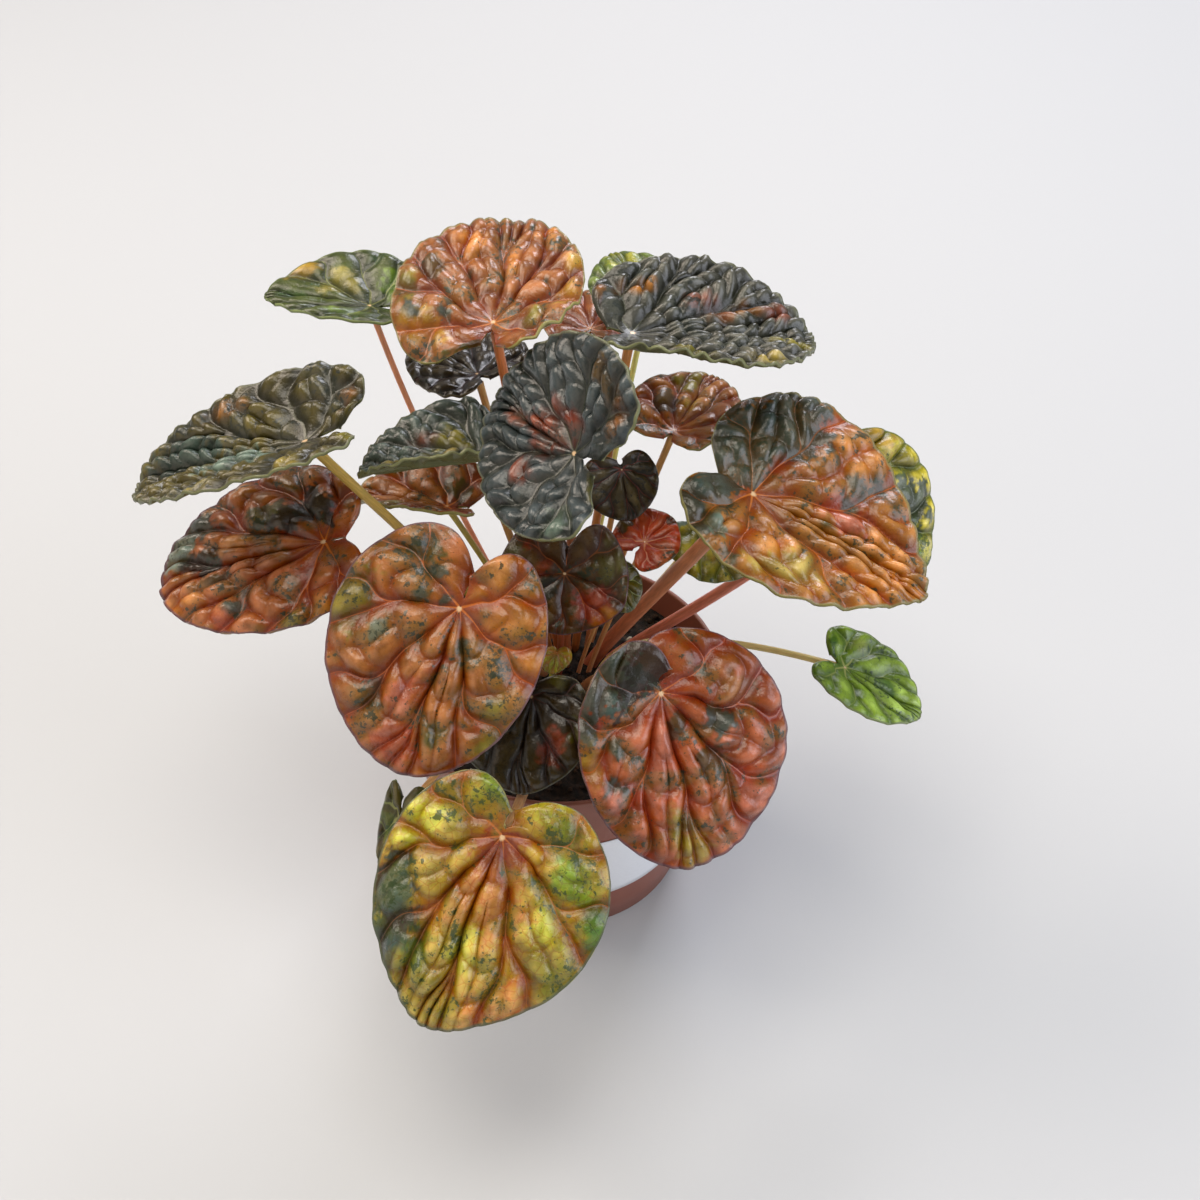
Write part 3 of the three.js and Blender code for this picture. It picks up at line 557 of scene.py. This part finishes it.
def leafMaterial(kind, finish, upper):
    # waxy skin over fleshy tissue: broad soft highlights with a fine grain of cells in them
    name = f"{kind} leaf, {'upper' if upper else 'lower'} skin"
    material, add, join = newMaterial(name, {
        "IOR": 1.5, "Specular IOR Level": 0.3,
        "Coat Weight": 0.65 if upper else 0.2, "Coat Roughness": 0.25, "Coat IOR": 1.45,
    })
    place = add("TexCoord")["Object"]
    tint = add("Attribute", attribute_name="tint")["Color"]
    formNote = add("Attribute", attribute_name="form")["Vector"]
    veinNote = add("Attribute", attribute_name="veins")["Vector"]
    relief, outwards, flecked = add("SeparateXYZ", {0: formNote})
    signedRank, fork, spacing = add("SeparateXYZ", {0: veinNote})

    # distance in mm to the nearest vein: whole numbers of rank are veins, which part after the fork
    rank = add("Math", {0: signedRank}, operation="ABSOLUTE")[0]
    whole = add("Math", {0: rank}, operation="ROUND")[0]
    signedOffset = add("Math", {0: rank, 1: whole}, operation="SUBTRACT")[0]
    offset = add("Math", {0: signedOffset}, operation="ABSOLUTE")[0]
    fromFork = add("Math", {0: offset, 1: fork}, operation="SUBTRACT")[0]
    forkAway = add("Math", {0: fromFork}, operation="ABSOLUTE")[0]
    toFork = add("Math", {0: forkAway, 1: spacing}, operation="MULTIPLY")[0]
    toMidrib = add("Math", {0: rank, 1: spacing}, operation="MULTIPLY")[0]
    toVein = add("Math", {0: toFork, 1: toMidrib}, operation="MINIMUM")[0]
    halfWidth = add("MapRange", {0: outwards, 1: 0.0, 2: 1.0, 3: 0.24, 4: 0.1})[0]
    fromLine = add("Math", {0: toVein, 1: halfWidth}, operation="DIVIDE")[0]
    onVein = add("MapRange", {0: fromLine, 1: 1.4, 2: 0.6}, **eased)[0]
    nearVein = add("MapRange", {0: toVein, 1: 1.6, 2: 0.1}, **eased)[0]

    # ground and patches, cloudy over 5 mm, with painted shade down in the furrows, darker and richer there
    cloud = add("TexNoise", {"Vector": place, "Scale": 1 / (5 * mm), "Detail": 4.0})[0]
    value = add("MapRange", {0: cloud, 1: 0.3, 2: 0.7, 3: 0.52, 4: 0.92})[0]
    mottled = add("HueSaturation", {"Saturation": 1.28, "Value": value, "Color": tint})[0]
    # painted shade: the low parts between the pillows are multiplied darker with the furrow tint
    low = add("MapRange", {0: relief, 1: 0.75, 2: 0.1}, **eased)[0]
    colour = add("Mix", {0: low, 6: mottled, 7: linear(finish["furrow"])}, **mixed,
                 blend_type="MULTIPLY")[2]

    # painted sheen: the tops of the pillows are painted paler, as a broad highlight would light them, less so
    # where the pigment is dark
    light = add("RGBToBW", {0: tint})[0]
    tops = add("MapRange", {0: light, 1: 0.03, 2: 0.1, 3: 0.4, 4: 0.85})[0]
    onTops = add("MapRange", {0: relief, 1: 0.45, 2: 1.0, 4: tops}, **eased)[0]
    sheenCloud = add("MapRange", {0: cloud, 1: 0.28, 2: 0.56})[0]
    paintedSheen = add("Math", {0: onTops, 1: sheenCloud}, operation="MULTIPLY")[0]
    sheenColour = add("HueSaturation", {"Saturation": 0.84, "Value": 2.15, "Color": colour})[0]
    colour = add("Mix", {0: paintedSheen, 6: colour, 7: sheenColour}, **mixed)[2]

    # a net of the finest veins, about 2.5 mm wide in its meshes
    meshes = add("TexVoronoi", {"Vector": place, "Scale": 1 / (2.5 * mm)}, feature="DISTANCE_TO_EDGE")[0]
    fine = add("MapRange", {0: meshes, 1: 0.07, 2: 0.01, 4: finish["net"]}, **eased)[0]
    colour = add("Mix", {0: fine, 6: colour, 7: linear(finish["furrow"])}, **mixed,
                 blend_type="MULTIPLY")[2]

    # dark flecks in drifts: small ones of 1 mm and a dust of 0.5 mm
    drift = add("TexNoise", {"Vector": place, "Scale": 1 / (9 * mm), "Detail": 2.0})[0]
    threshold = add("MapRange", {0: flecked, 1: 0.0, 2: 1.0, 3: 0.74, 4: 0.60})[0]
    edge = add("Math", {0: threshold, 1: drift}, operation="SUBTRACT")[0]
    halfEdge = add("Math", {0: edge, 1: 0.6, 2: 0.385}, operation="MULTIPLY_ADD")[0]
    onPale = add("MapRange", {0: light, 1: 0.04, 2: 0.1})[0]
    drifted = add("MapRange", {0: halfEdge, 1: 0.48, 2: 0.4, 4: 0.45}, **eased)[0]
    haze = add("Math", {0: drifted, 1: onPale}, operation="MULTIPLY")[0]
    colour = add("Mix", {0: haze, 6: colour, 7: linear(finish["haze"])}, **mixed)[2]
    for size, depth in ((2.2, 0.85), (1.0, 0.7)):
        spots = add("TexNoise", {"Vector": place, "Scale": 1 / (size * mm), "Detail": 3.0,
                                 "Roughness": 0.6})[0]
        over = add("Math", {0: spots, 1: halfEdge}, operation="SUBTRACT")[0]
        cover = add("MapRange", {0: over, 1: 0.16, 2: 0.2, 4: depth})[0]
        colour = add("Mix", {0: cover, 6: colour, 7: linear(finish["fleck"])}, **mixed)[2]

    veinTint = add("Mix", {0: outwards, 6: linear(finish["vein"]), 7: linear(finish["outerVein"])},
                   **mixed)[2]
    strength = add("MapRange", {0: light, 1: 0.03, 2: 0.13, 3: 0.1, 4: 0.6})[0]
    line = add("Math", {0: onVein, 1: strength}, operation="MULTIPLY")[0]
    colour = add("Mix", {0: line, 6: colour, 7: veinTint}, **mixed)[2]
    star = add("MapRange", {0: outwards, 1: 0.032, 2: 0.012}, **eased)[0]
    colour = add("Mix", {0: star, 6: colour, 7: linear("#d0b088")}, **mixed)[2]
    rim = add("MapRange", {0: outwards, 1: 0.975, 2: 0.99, 4: 0.85})[0]
    colour = add("Mix", {0: rim, 6: colour, 7: linear(finish["margin"])}, **mixed)[2]
    if not upper:
        colour = add("Mix", {0: 0.65, 6: colour, 7: linear(finish["under"])}, **mixed)[2]
    join("Base Color", colour)

    cells = add("TexNoise", {"Vector": place, "Scale": 1 / (0.55 * mm), "Detail": 2.0})[0]
    sheen = add("MapRange", {0: cells, 1: 0.3, 2: 0.7, 3: 0.27, 4: 0.42})[0]
    join("Roughness", sheen)
    grained = add("Bump", {"Strength": 0.85, "Distance": 0.1 * mm, "Height": cells})[0]
    dents = add("TexNoise", {"Vector": place, "Scale": 1 / (1.8 * mm), "Detail": 2.0})[0]
    dented = add("Bump", {"Strength": 0.25, "Distance": 0.3 * mm, "Height": dents, "Normal": grained})[0]
    netted = add("Bump", {"Strength": 0.4, "Distance": 0.2 * mm, "Height": fine, "Normal": dented},
                 invert=upper)[0]
    lined = add("Bump", {"Strength": 0.7, "Distance": 0.3 * mm, "Height": nearVein, "Normal": netted},
                invert=upper)[0]
    join("Normal", lined)
    join("Coat Normal", grained)
    return material


def makeBlade(name, leaf):
    form = leafForm
    columns, rings = next(grid[1:] for grid in form["grids"]
                          if leaf["long"] * (leaf["left"] + leaf["right"]) > grid[0])
    bm, across, along = gridMesh(columns, rings)
    u, s = 2 * across - 1, along
    x, y = flatPlace(leaf, s, u)
    height, relief, net = veinNet(leaf, s, u, x, y)
    note(bm, "colour", "tint", paint(leaf, s, u, x, y))
    note(bm, "vector", "veins", net)
    note(bm, "vector", "form", np.stack([relief, s, np.full(len(s), leaf["flecks"])], -1))
    z = leaf["cup"] * (x * x + y * y) / leaf["long"] + leaf["fold"] * (np.hypot(y, 3) - 3)
    z = z + leaf["twist"] * u ** 3 * s ** 2 * slitOpening(s) + height
    droop = form["rimDroop"] * smooth((s - 0.9) / 0.1) * slitOpening(s)
    z = z - droop * (1 + 0.6 * wander(x, y, 11, leaf["seed"]))
    for direction, start, rate in leaf["bends"]:
        x, y, z = bent(x, y, z, direction, start, rate)
    forward, left, up = bladeAxes(leaf)
    lay(bm, np.array(leaf["at"]) + x[:, None] * forward + y[:, None] * left + z[:, None] * up)
    piece = finishMesh(bm, name + "_leaf", leafMaterials[leaf["finish"]],
                       [nodeNames.get(name, name) + "_blade"], closed=False)
    facing = sum((face.normal * face.area for face in piece.data.polygons), Vector())
    if facing.dot(Vector(up)) < 0:
        piece.data.flip_normals()
    wall = piece.modifiers.new("blade thickness", "SOLIDIFY")
    wall.thickness = form["thickness"] * mm
    wall.offset = 0
    wall.material_offset = 1
    wall.material_offset_rim = 1


leafMaterials = {kind: (leafMaterial(kind, finish, True), leafMaterial(kind, finish, False))
                 for kind, finish in leafFinishes.items()}
for leafName, leaf in leaves.items():
    makeBlade(leafName, leaf)
print("blades", len(leaves))

crownForm = {
    "x": 1, "y": 15.5, "bottom": 56, "top": 67, "radius": 1.6, "knee": 0.62, "around": 20, "steps": 30,
    "scars": 3.1, "scarDepth": 0.1, "within": 0.95,      # within keeps the scars inside the solid
}
stalkForm = {"around": 16, "steps": 44, "flare": 0.3, "flareLength": 2.5}


def petioleMaterial():
    # fleshy petiole: smooth and slightly glassy, with faint streaks that run along it
    material, add, join = newMaterial("fleshy petiole", {
        "Roughness": 0.4, "IOR": 1.42, "Subsurface Weight": 0.25,
        "Subsurface Radius": (1.2, 0.6, 0.3), "Subsurface Scale": 0.0015,
    })
    tint = add("Attribute", attribute_name="tint")["Color"]
    skin = add("Attribute", attribute_name="skin")["Vector"]
    streaks = add("Mapping", {0: skin, "Scale": (3.0, 3.0, 0.25)})[0]
    stain = add("TexNoise", {"Vector": streaks, "Scale": 1.0, "Detail": 4.0, "Roughness": 0.6})[0]
    value = add("MapRange", {0: stain, 1: 0.3, 2: 0.7, 3: 0.85, 4: 1.35})[0]
    colour = add("HueSaturation", {"Value": value, "Color": tint})[0]
    join("Base Color", colour)
    bump = add("Bump", {"Strength": 0.4, "Distance": 0.15 * mm, "Height": stain})[0]
    join("Normal", bump)
    return material


petiole = petioleMaterial()


def tube(name, path, radii, tints, around, replaced):
    # a closed tube along a path, its colour running from one tint to the other
    steps = len(path) - 1
    bm, across, along = gridMesh(around, steps)
    row = np.round(along * steps).astype(int)
    path = np.array(path)
    ahead = np.gradient(path, axis=0)
    ahead /= np.linalg.norm(ahead, axis=1)[:, None]
    sideways = [np.array(Vector(ahead[0]).orthogonal().normalized())]
    for direction in ahead[1:]:             # carries one side vector along without twisting it
        carried = sideways[-1] - direction * (sideways[-1] @ direction)
        sideways.append(carried / np.linalg.norm(carried))
    sideways = np.array(sideways)
    upwards = np.cross(ahead, sideways)
    angle = 2 * math.pi * across
    ring = np.cos(angle)[:, None] * sideways[row] + np.sin(angle)[:, None] * upwards[row]
    lay(bm, path[row] + ring * np.array(radii)[row][:, None])
    start, end = (np.array(linear(tint)) for tint in tints)
    share = smooth(along)[:, None]
    note(bm, "colour", "tint", start * (1 - share) + end * share)
    length = np.linalg.norm(np.diff(path, axis=0), axis=1).sum()
    note(bm, "vector", "skin", np.stack([np.cos(angle), np.sin(angle), along * length], -1))
    return finishMesh(bm, name, [petiole], [replaced])


def stalkPath(leaf):            # the same cubic curve as the solid's, ended inside the blade
    distance, direction = leaf["root"]
    crown = crownForm
    foot = np.array([crown["x"] + distance * math.cos(math.radians(direction)),
                     crown["y"] + distance * math.sin(math.radians(direction)), crown["bottom"]])
    at = np.array(leaf["at"], float)
    rising = foot + [0, 0, leaf["straight"]]
    knee = foot + (at - foot) * crown["knee"] + [0, 0, leaf["rise"]]
    end = at - bladeAxes(leaf)[2] * 0.1
    t = np.linspace(0, 1, stalkForm["steps"] + 1)[:, None]
    return foot * (1 - t) ** 3 + rising * 3 * t * (1 - t) ** 2 + knee * 3 * t * t * (1 - t) + end * t ** 3


for leafName, leaf in leaves.items():
    path = stalkPath(leaf)
    fromEnd = np.linalg.norm(path - path[-1], axis=1)
    thick = leaf["stalk"] * (1 + stalkForm["flare"] * np.exp(-fromEnd / stalkForm["flareLength"]))
    thick[[0, -1]] = 0          # both ends close to a point
    tube(leafName + "_petiole", path, thick, leaf["stalkTints"], stalkForm["around"],
         nodeNames.get(leafName, leafName) + "_stalk")

heights = np.linspace(crownForm["bottom"], crownForm["top"], crownForm["steps"])
# rings left by old leaves
scars = 1 + crownForm["scarDepth"] * np.sin(2 * math.pi * heights / crownForm["scars"])
cap = np.sqrt(np.clip((crownForm["top"] - heights) / crownForm["radius"], 0, 1))
crownRadii = crownForm["radius"] * crownForm["within"] * scars * cap
crownRadii[0] = 0
tube("crown_stem", [(crownForm["x"], crownForm["y"], h) for h in heights], crownRadii,
     ("#6b4a36", "#8a6a4c"), crownForm["around"], "crown")
print("stalks and crown")

potForm = {
    "rim": potRim, "top": potTop, "base": 34.8, "wall": 1.45, "floor": 1.8, "around": 144,
    "drains": 6, "drainRadius": 4, "drainRing": 20,
}
soilForm = {
    "top": 63, "clodHeight": 1.1, "clodLength": 7, "crumbHeight": 0.9, "crumbLength": 2.4,
    "around": 200, "rings": 90,
    "topShare": 0.86, "wallShare": 0.95,     # where the sheet leaves the top, and reaches the floor
}
labelForm = {"bottom": 18, "top": 49, "start": -150, "end": -35, "lift": 0.12, "thickness": 0.2, "corner": 3}


def potRadius(height):
    return potForm["base"] + (potForm["rim"] - potForm["base"]) * height / potForm["top"]


def potMaterial():
    # moulded polypropylene: an even brown-red body with a satin skin and faint flow marks
    material, add, join = newMaterial("moulded polypropylene", {
        "Roughness": 0.42, "IOR": 1.49, "Subsurface Weight": 0.08,
        "Subsurface Radius": (1.5, 0.5, 0.3), "Subsurface Scale": 0.001,
    })
    place = add("TexCoord")["Object"]
    marks = add("Mapping", {0: place, "Scale": (1, 1, 0.15)})[0]
    flow = add("TexNoise", {"Vector": marks, "Scale": 1 / (9 * mm), "Detail": 3.0})[0]
    value = add("MapRange", {0: flow, 1: 0.3, 2: 0.7, 3: 0.92, 4: 1.08})[0]
    colour = add("HueSaturation", {"Value": value, "Color": linear("#804a3a")})[0]
    join("Base Color", colour)
    skin = add("TexNoise", {"Vector": place, "Scale": 1 / (0.5 * mm), "Detail": 2.0})[0]
    bump = add("Bump", {"Strength": 0.25, "Distance": 0.05 * mm, "Height": skin})[0]
    join("Normal", bump)
    return material


def makePot():
    form = potForm
    lip = form["wall"] / 2
    # radius and height, up the outside, over the lip and down the inside
    profile = [(0, 0), (form["base"] - 2.2, 0), (form["base"] - 0.9, 0.15), (potRadius(0.9), 0.9),
               (potRadius(10), 10), (potRadius(40), 40), (potRadius(66), 66)]
    for angle in range(0, 181, 20):
        profile.append((form["rim"] - lip + lip * math.cos(math.radians(angle)),
                        form["top"] - lip + lip * math.sin(math.radians(angle))))
    inner = form["floor"] + 1
    profile += [(potRadius(60) - form["wall"], 60), (potRadius(inner) - form["wall"], inner),
                (potRadius(form["floor"]) - form["wall"] - 1, form["floor"]), (0, form["floor"])]
    bm = bmesh.new()
    points = [bm.verts.new((r * mm, 0, z * mm)) for r, z in profile]
    edges = [bm.edges.new(pair) for pair in zip(points, points[1:])]
    bmesh.ops.spin(bm, geom=points + edges, axis=(0, 0, 1), cent=(0, 0, 0), angle=2 * math.pi,
                   steps=form["around"], use_merge=True)
    pot = finishMesh(bm, "pot_shell", [potMaterial()], ["pot"])
    cutter = bmesh.new()
    for number in range(form["drains"]):
        angle = math.radians(number * 360 / form["drains"])
        spot = Vector((math.cos(angle), math.sin(angle), 0)) * form["drainRing"] * mm
        bmesh.ops.create_cone(cutter, cap_ends=True, segments=40, radius1=form["drainRadius"] * mm,
                              radius2=form["drainRadius"] * mm, depth=8 * mm, matrix=Matrix.Translation(spot))
    drillMesh = bpy.data.meshes.new("drill")
    cutter.to_mesh(drillMesh)
    cutter.free()
    drill = addObject("drill", drillMesh)
    holes = pot.modifiers.new("drain holes", "BOOLEAN")
    holes.operation = "DIFFERENCE"
    holes.solver = "EXACT"
    holes.object = drill
    bpy.context.view_layer.update()
    drilled = bpy.data.meshes.new_from_object(pot.evaluated_get(bpy.context.evaluated_depsgraph_get()))
    pot.modifiers.clear()
    pot.data = drilled
    bpy.data.objects.remove(drill)


makePot()


def makeLabel():
    # uncoated paper: white and matt with a very faint fibre
    material, add, join = newMaterial("uncoated label paper", {"Roughness": 0.62, "IOR": 1.45})
    place = add("TexCoord")["Object"]
    fibre = add("TexNoise", {"Vector": place, "Scale": 1 / (0.8 * mm), "Detail": 5.0})[0]
    value = add("MapRange", {0: fibre, 1: 0.3, 2: 0.7, 3: 0.96, 4: 1.0})[0]
    colour = add("HueSaturation", {"Value": value, "Color": linear("#dcdee2")})[0]
    join("Base Color", colour)
    bump = add("Bump", {"Strength": 0.2, "Distance": 0.04 * mm, "Height": fibre})[0]
    join("Normal", bump)
    form = labelForm
    bm, across, up = gridMesh(96, 12)
    wide = math.radians(form["end"] - form["start"]) * potRadius(33)
    tall = form["top"] - form["bottom"]
    inset = np.maximum(form["corner"] - np.minimum(across, 1 - across) * wide, 0)
    cut = form["corner"] - np.sqrt(np.maximum(form["corner"] ** 2 - inset ** 2, 0))
    height = form["bottom"] + cut + up * (tall - 2 * cut)
    angle = np.radians(form["start"] + (form["end"] - form["start"]) * across)
    radius = potRadius(height) + form["lift"]
    lay(bm, np.stack([radius * np.cos(angle), radius * np.sin(angle), height], -1))
    label = finishMesh(bm, "blank_label", [material], ["label"], closed=False)
    if label.data.polygons[0].normal.dot(label.data.polygons[0].center) < 0:
        label.data.flip_normals()
    wall = label.modifiers.new("paper thickness", "SOLIDIFY")
    wall.thickness = form["thickness"] * mm
    wall.offset = 1


makeLabel()


def soilHeight(x, y):           # the solid's own clods, with finer crumbs over them
    form = soilForm
    turn = 2 * math.pi / form["clodLength"]
    lumps = (np.sin(turn * x + 1.3) * np.sin(turn * 0.9 * y) + 0.7 * np.sin(turn * 0.63 * (x + y))
             + 0.5 * np.sin(turn * 1.45 * (x - 0.6 * y) + 2))
    length = form["crumbLength"]
    crumbs = [noise.fractal(Vector((a / length, b / length, 3)), 0.7, 2.1, 4) for a, b in zip(x, y)]
    return form["top"] + form["clodHeight"] * lumps / 2 + form["crumbHeight"] * np.array(crumbs)


def peatMaterial(name, dark, light, roughness):
    # milled peat: near black, matt and fibrous, with brown bits where it has dried
    material, add, join = newMaterial(name, {"Roughness": roughness, "IOR": 1.4})
    place = add("TexCoord")["Object"]
    bits = add("TexNoise", {"Vector": place, "Scale": 1 / (1.6 * mm), "Detail": 6.0,
                            "Roughness": 0.7})[0]
    spread = add("MapRange", {0: bits, 1: 0.42, 2: 0.68})[0]
    colour = add("Mix", {0: spread, 6: linear(dark), 7: linear(light)}, **mixed)[2]
    join("Base Color", colour)
    bump = add("Bump", {"Strength": 0.9, "Distance": 0.6 * mm, "Height": bits})[0]
    join("Normal", bump)
    return material


def makeSoil():
    form = soilForm
    bm, across, along = gridMesh(form["around"], form["rings"])
    angle = 2 * math.pi * across
    edge = potRadius(form["top"]) - potForm["wall"] - 0.05
    bottom = potForm["floor"] + 0.2
    foot = potRadius(bottom) - potForm["wall"] - 0.3
    # the top runs out to the wall, then the sheet goes down the wall and in to the middle again
    topShare, wallShare = form["topShare"], form["wallShare"]
    parts = [along < topShare, along < wallShare]
    fallen = (along - topShare) / (wallShare - topShare)
    radius = np.select(parts, [edge * along / topShare, edge + (foot - edge) * fallen],
                       foot * (1 - along) / (1 - wallShare))
    x, y = radius * np.cos(angle), radius * np.sin(angle)
    calm = smooth((edge - radius) / 2)
    top = form["top"] + (soilHeight(x, y) - form["top"]) * calm
    height = np.select(parts, [top, form["top"] + (bottom - form["top"]) * fallen], bottom)
    lay(bm, np.stack([x, y, height], -1))
    finishMesh(bm, "peat", [peatMaterial("milled peat", "#120e0b", "#3a2a1e", 0.85)], ["soil"])


makeSoil()


def scatter(name, count, sizes, material, rng, flat=0.7, sunk=0.3, faces=1):
    # small lumps strewn over the soil, each a roughened ball sunk a little way in
    bm = bmesh.new()
    for number in range(count):
        size = rng.uniform(*sizes)
        reach = (potRadius(soilForm["top"]) - potForm["wall"] - size - 0.4) * math.sqrt(rng.random())
        direction = rng.uniform(0, 2 * math.pi)
        x, y = reach * math.cos(direction), reach * math.sin(direction)
        z = float(soilHeight(np.array([x]), np.array([y]))[0]) + size * (flat - sunk) * 0.5
        turned = Matrix.Rotation(rng.uniform(0, 6.3), 4, (rng.random(), rng.random(), 0.3))
        shape = Matrix.Diagonal((size, size * rng.uniform(0.6, 1), size * flat, 1)) * mm
        shape[3][3] = 1
        made = bmesh.ops.create_icosphere(bm, subdivisions=faces, radius=1,
                                          matrix=Matrix.Translation(Vector((x, y, z)) * mm) @ shape @ turned)
        for vertex in made["verts"]:
            away = vertex.co - Vector((x, y, z)) * mm
            vertex.co += away * 0.6 * noise.noise(vertex.co * 900 / size)
    finishMesh(bm, name, [material])


def perliteMaterial():
    # expanded volcanic glass: chalky white grains with fine pits, stained a little by the peat
    material, add, join = newMaterial("perlite", {"Roughness": 0.8, "IOR": 1.5})
    place = add("TexCoord")["Object"]
    stain = add("TexNoise", {"Vector": place, "Scale": 1 / (4 * mm), "Detail": 4.0})[0]
    spread = add("MapRange", {0: stain, 1: 0.35, 2: 0.65})[0]
    colour = add("Mix", {0: spread, 6: linear("#6d6050"), 7: linear("#c4baa6")}, **mixed)[2]
    join("Base Color", colour)
    pits = add("TexVoronoi", {"Vector": place, "Scale": 1 / (0.5 * mm)})[0]
    bump = add("Bump", {"Strength": 0.6, "Distance": 0.15 * mm, "Height": pits})[0]
    join("Normal", bump)
    return material


rng = random.Random(11)
scatter("peat_crumbs", 420, (0.5, 1.5), peatMaterial("loose peat", "#17110d", "#4a3423", 0.9), rng)
scatter("perlite_grains", 90, (0.35, 1.3), perliteMaterial(), rng, flat=0.8, sunk=0.25, faces=2)
print("pot, label and soil")

studio = {
    "floorTint": "#bcbfc2", "floorSize": 6.0,
    # each light: power in watts, size, place and tint
    "lights": {
        "window left": (8.5, 0.6, (-0.75, 0.35, 0.95), "#fff0e0"),
        "window behind": (9.0, 0.5, (0.3, 0.95, 0.95), "#f6f6ff"),
        "ceiling": (9.0, 0.7, (-0.1, -0.15, 1.3), "#fff6e8"),
        "right fill": (11.0, 1.0, (1.1, -0.45, 0.6), "#eef2ff"),
        "left fill": (3.0, 1.0, (-0.9, -0.8, 0.5), "#ffead4"),
    },
    "lightsAim": (0, 0, 0.1),
    "worldTint": "#f2f0ee", "worldStrength": 0.3,
    "cameraAt": (0.0106, -0.319, 0.4367), "cameraTilt": 46.4,
    "lens": 52.5, "sensor": 36, "nearest": 0.01,     # lens and sensor in millimetres
}


def makeFloor():
    # matt white board
    material, add, join = newMaterial("matt white board", {"Roughness": 0.7})
    place = add("TexCoord")["Object"]
    cloud = add("TexNoise", {"Vector": place, "Scale": 1.4, "Detail": 1.0})[0]
    value = add("MapRange", {0: cloud, 1: 0.3, 2: 0.7, 3: 0.97, 4: 1.0})[0]
    colour = add("HueSaturation", {"Value": value, "Color": linear(studio["floorTint"])})[0]
    join("Base Color", colour)
    bm, across, up = gridMesh(8, 8)
    size = studio["floorSize"] / mm
    lay(bm, np.stack([(across - 0.5) * size, (up - 0.5) * size, np.zeros(len(up))], -1))
    mesh = bpy.data.meshes.new("floor")
    bm.to_mesh(mesh)
    bm.free()
    mesh.materials.append(material)
    floor = addObject("floor", mesh)


def addLight(name, power, size, at, tint):
    data = bpy.data.lights.new(name, "AREA")
    data.energy = power
    data.size = size
    data.color = linear(tint)[:3]
    light = addObject(name, data)
    light.location = at
    light.rotation_euler = (Vector(studio["lightsAim"]) - Vector(at)).to_track_quat("-Z", "Y").to_euler()


makeFloor()
for name, settings in studio["lights"].items():
    addLight(name, *settings)

world = bpy.data.worlds.new("soft room")
world.use_nodes = True
world.node_tree.nodes["Background"].inputs["Color"].default_value = linear(studio["worldTint"])
world.node_tree.nodes["Background"].inputs["Strength"].default_value = studio["worldStrength"]
bpy.context.scene.world = world
bpy.context.scene.view_settings.view_transform = "Standard"

cameraData = bpy.data.cameras.new("camera")
cameraData.lens = studio["lens"]
cameraData.sensor_width = studio["sensor"]
cameraData.clip_start = studio["nearest"]
camera = addObject("camera", cameraData)
camera.location = studio["cameraAt"]
camera.rotation_euler = (math.radians(90 - studio["cameraTilt"]), 0, 0)
bpy.context.scene.camera = camera
print("floor, light and camera")
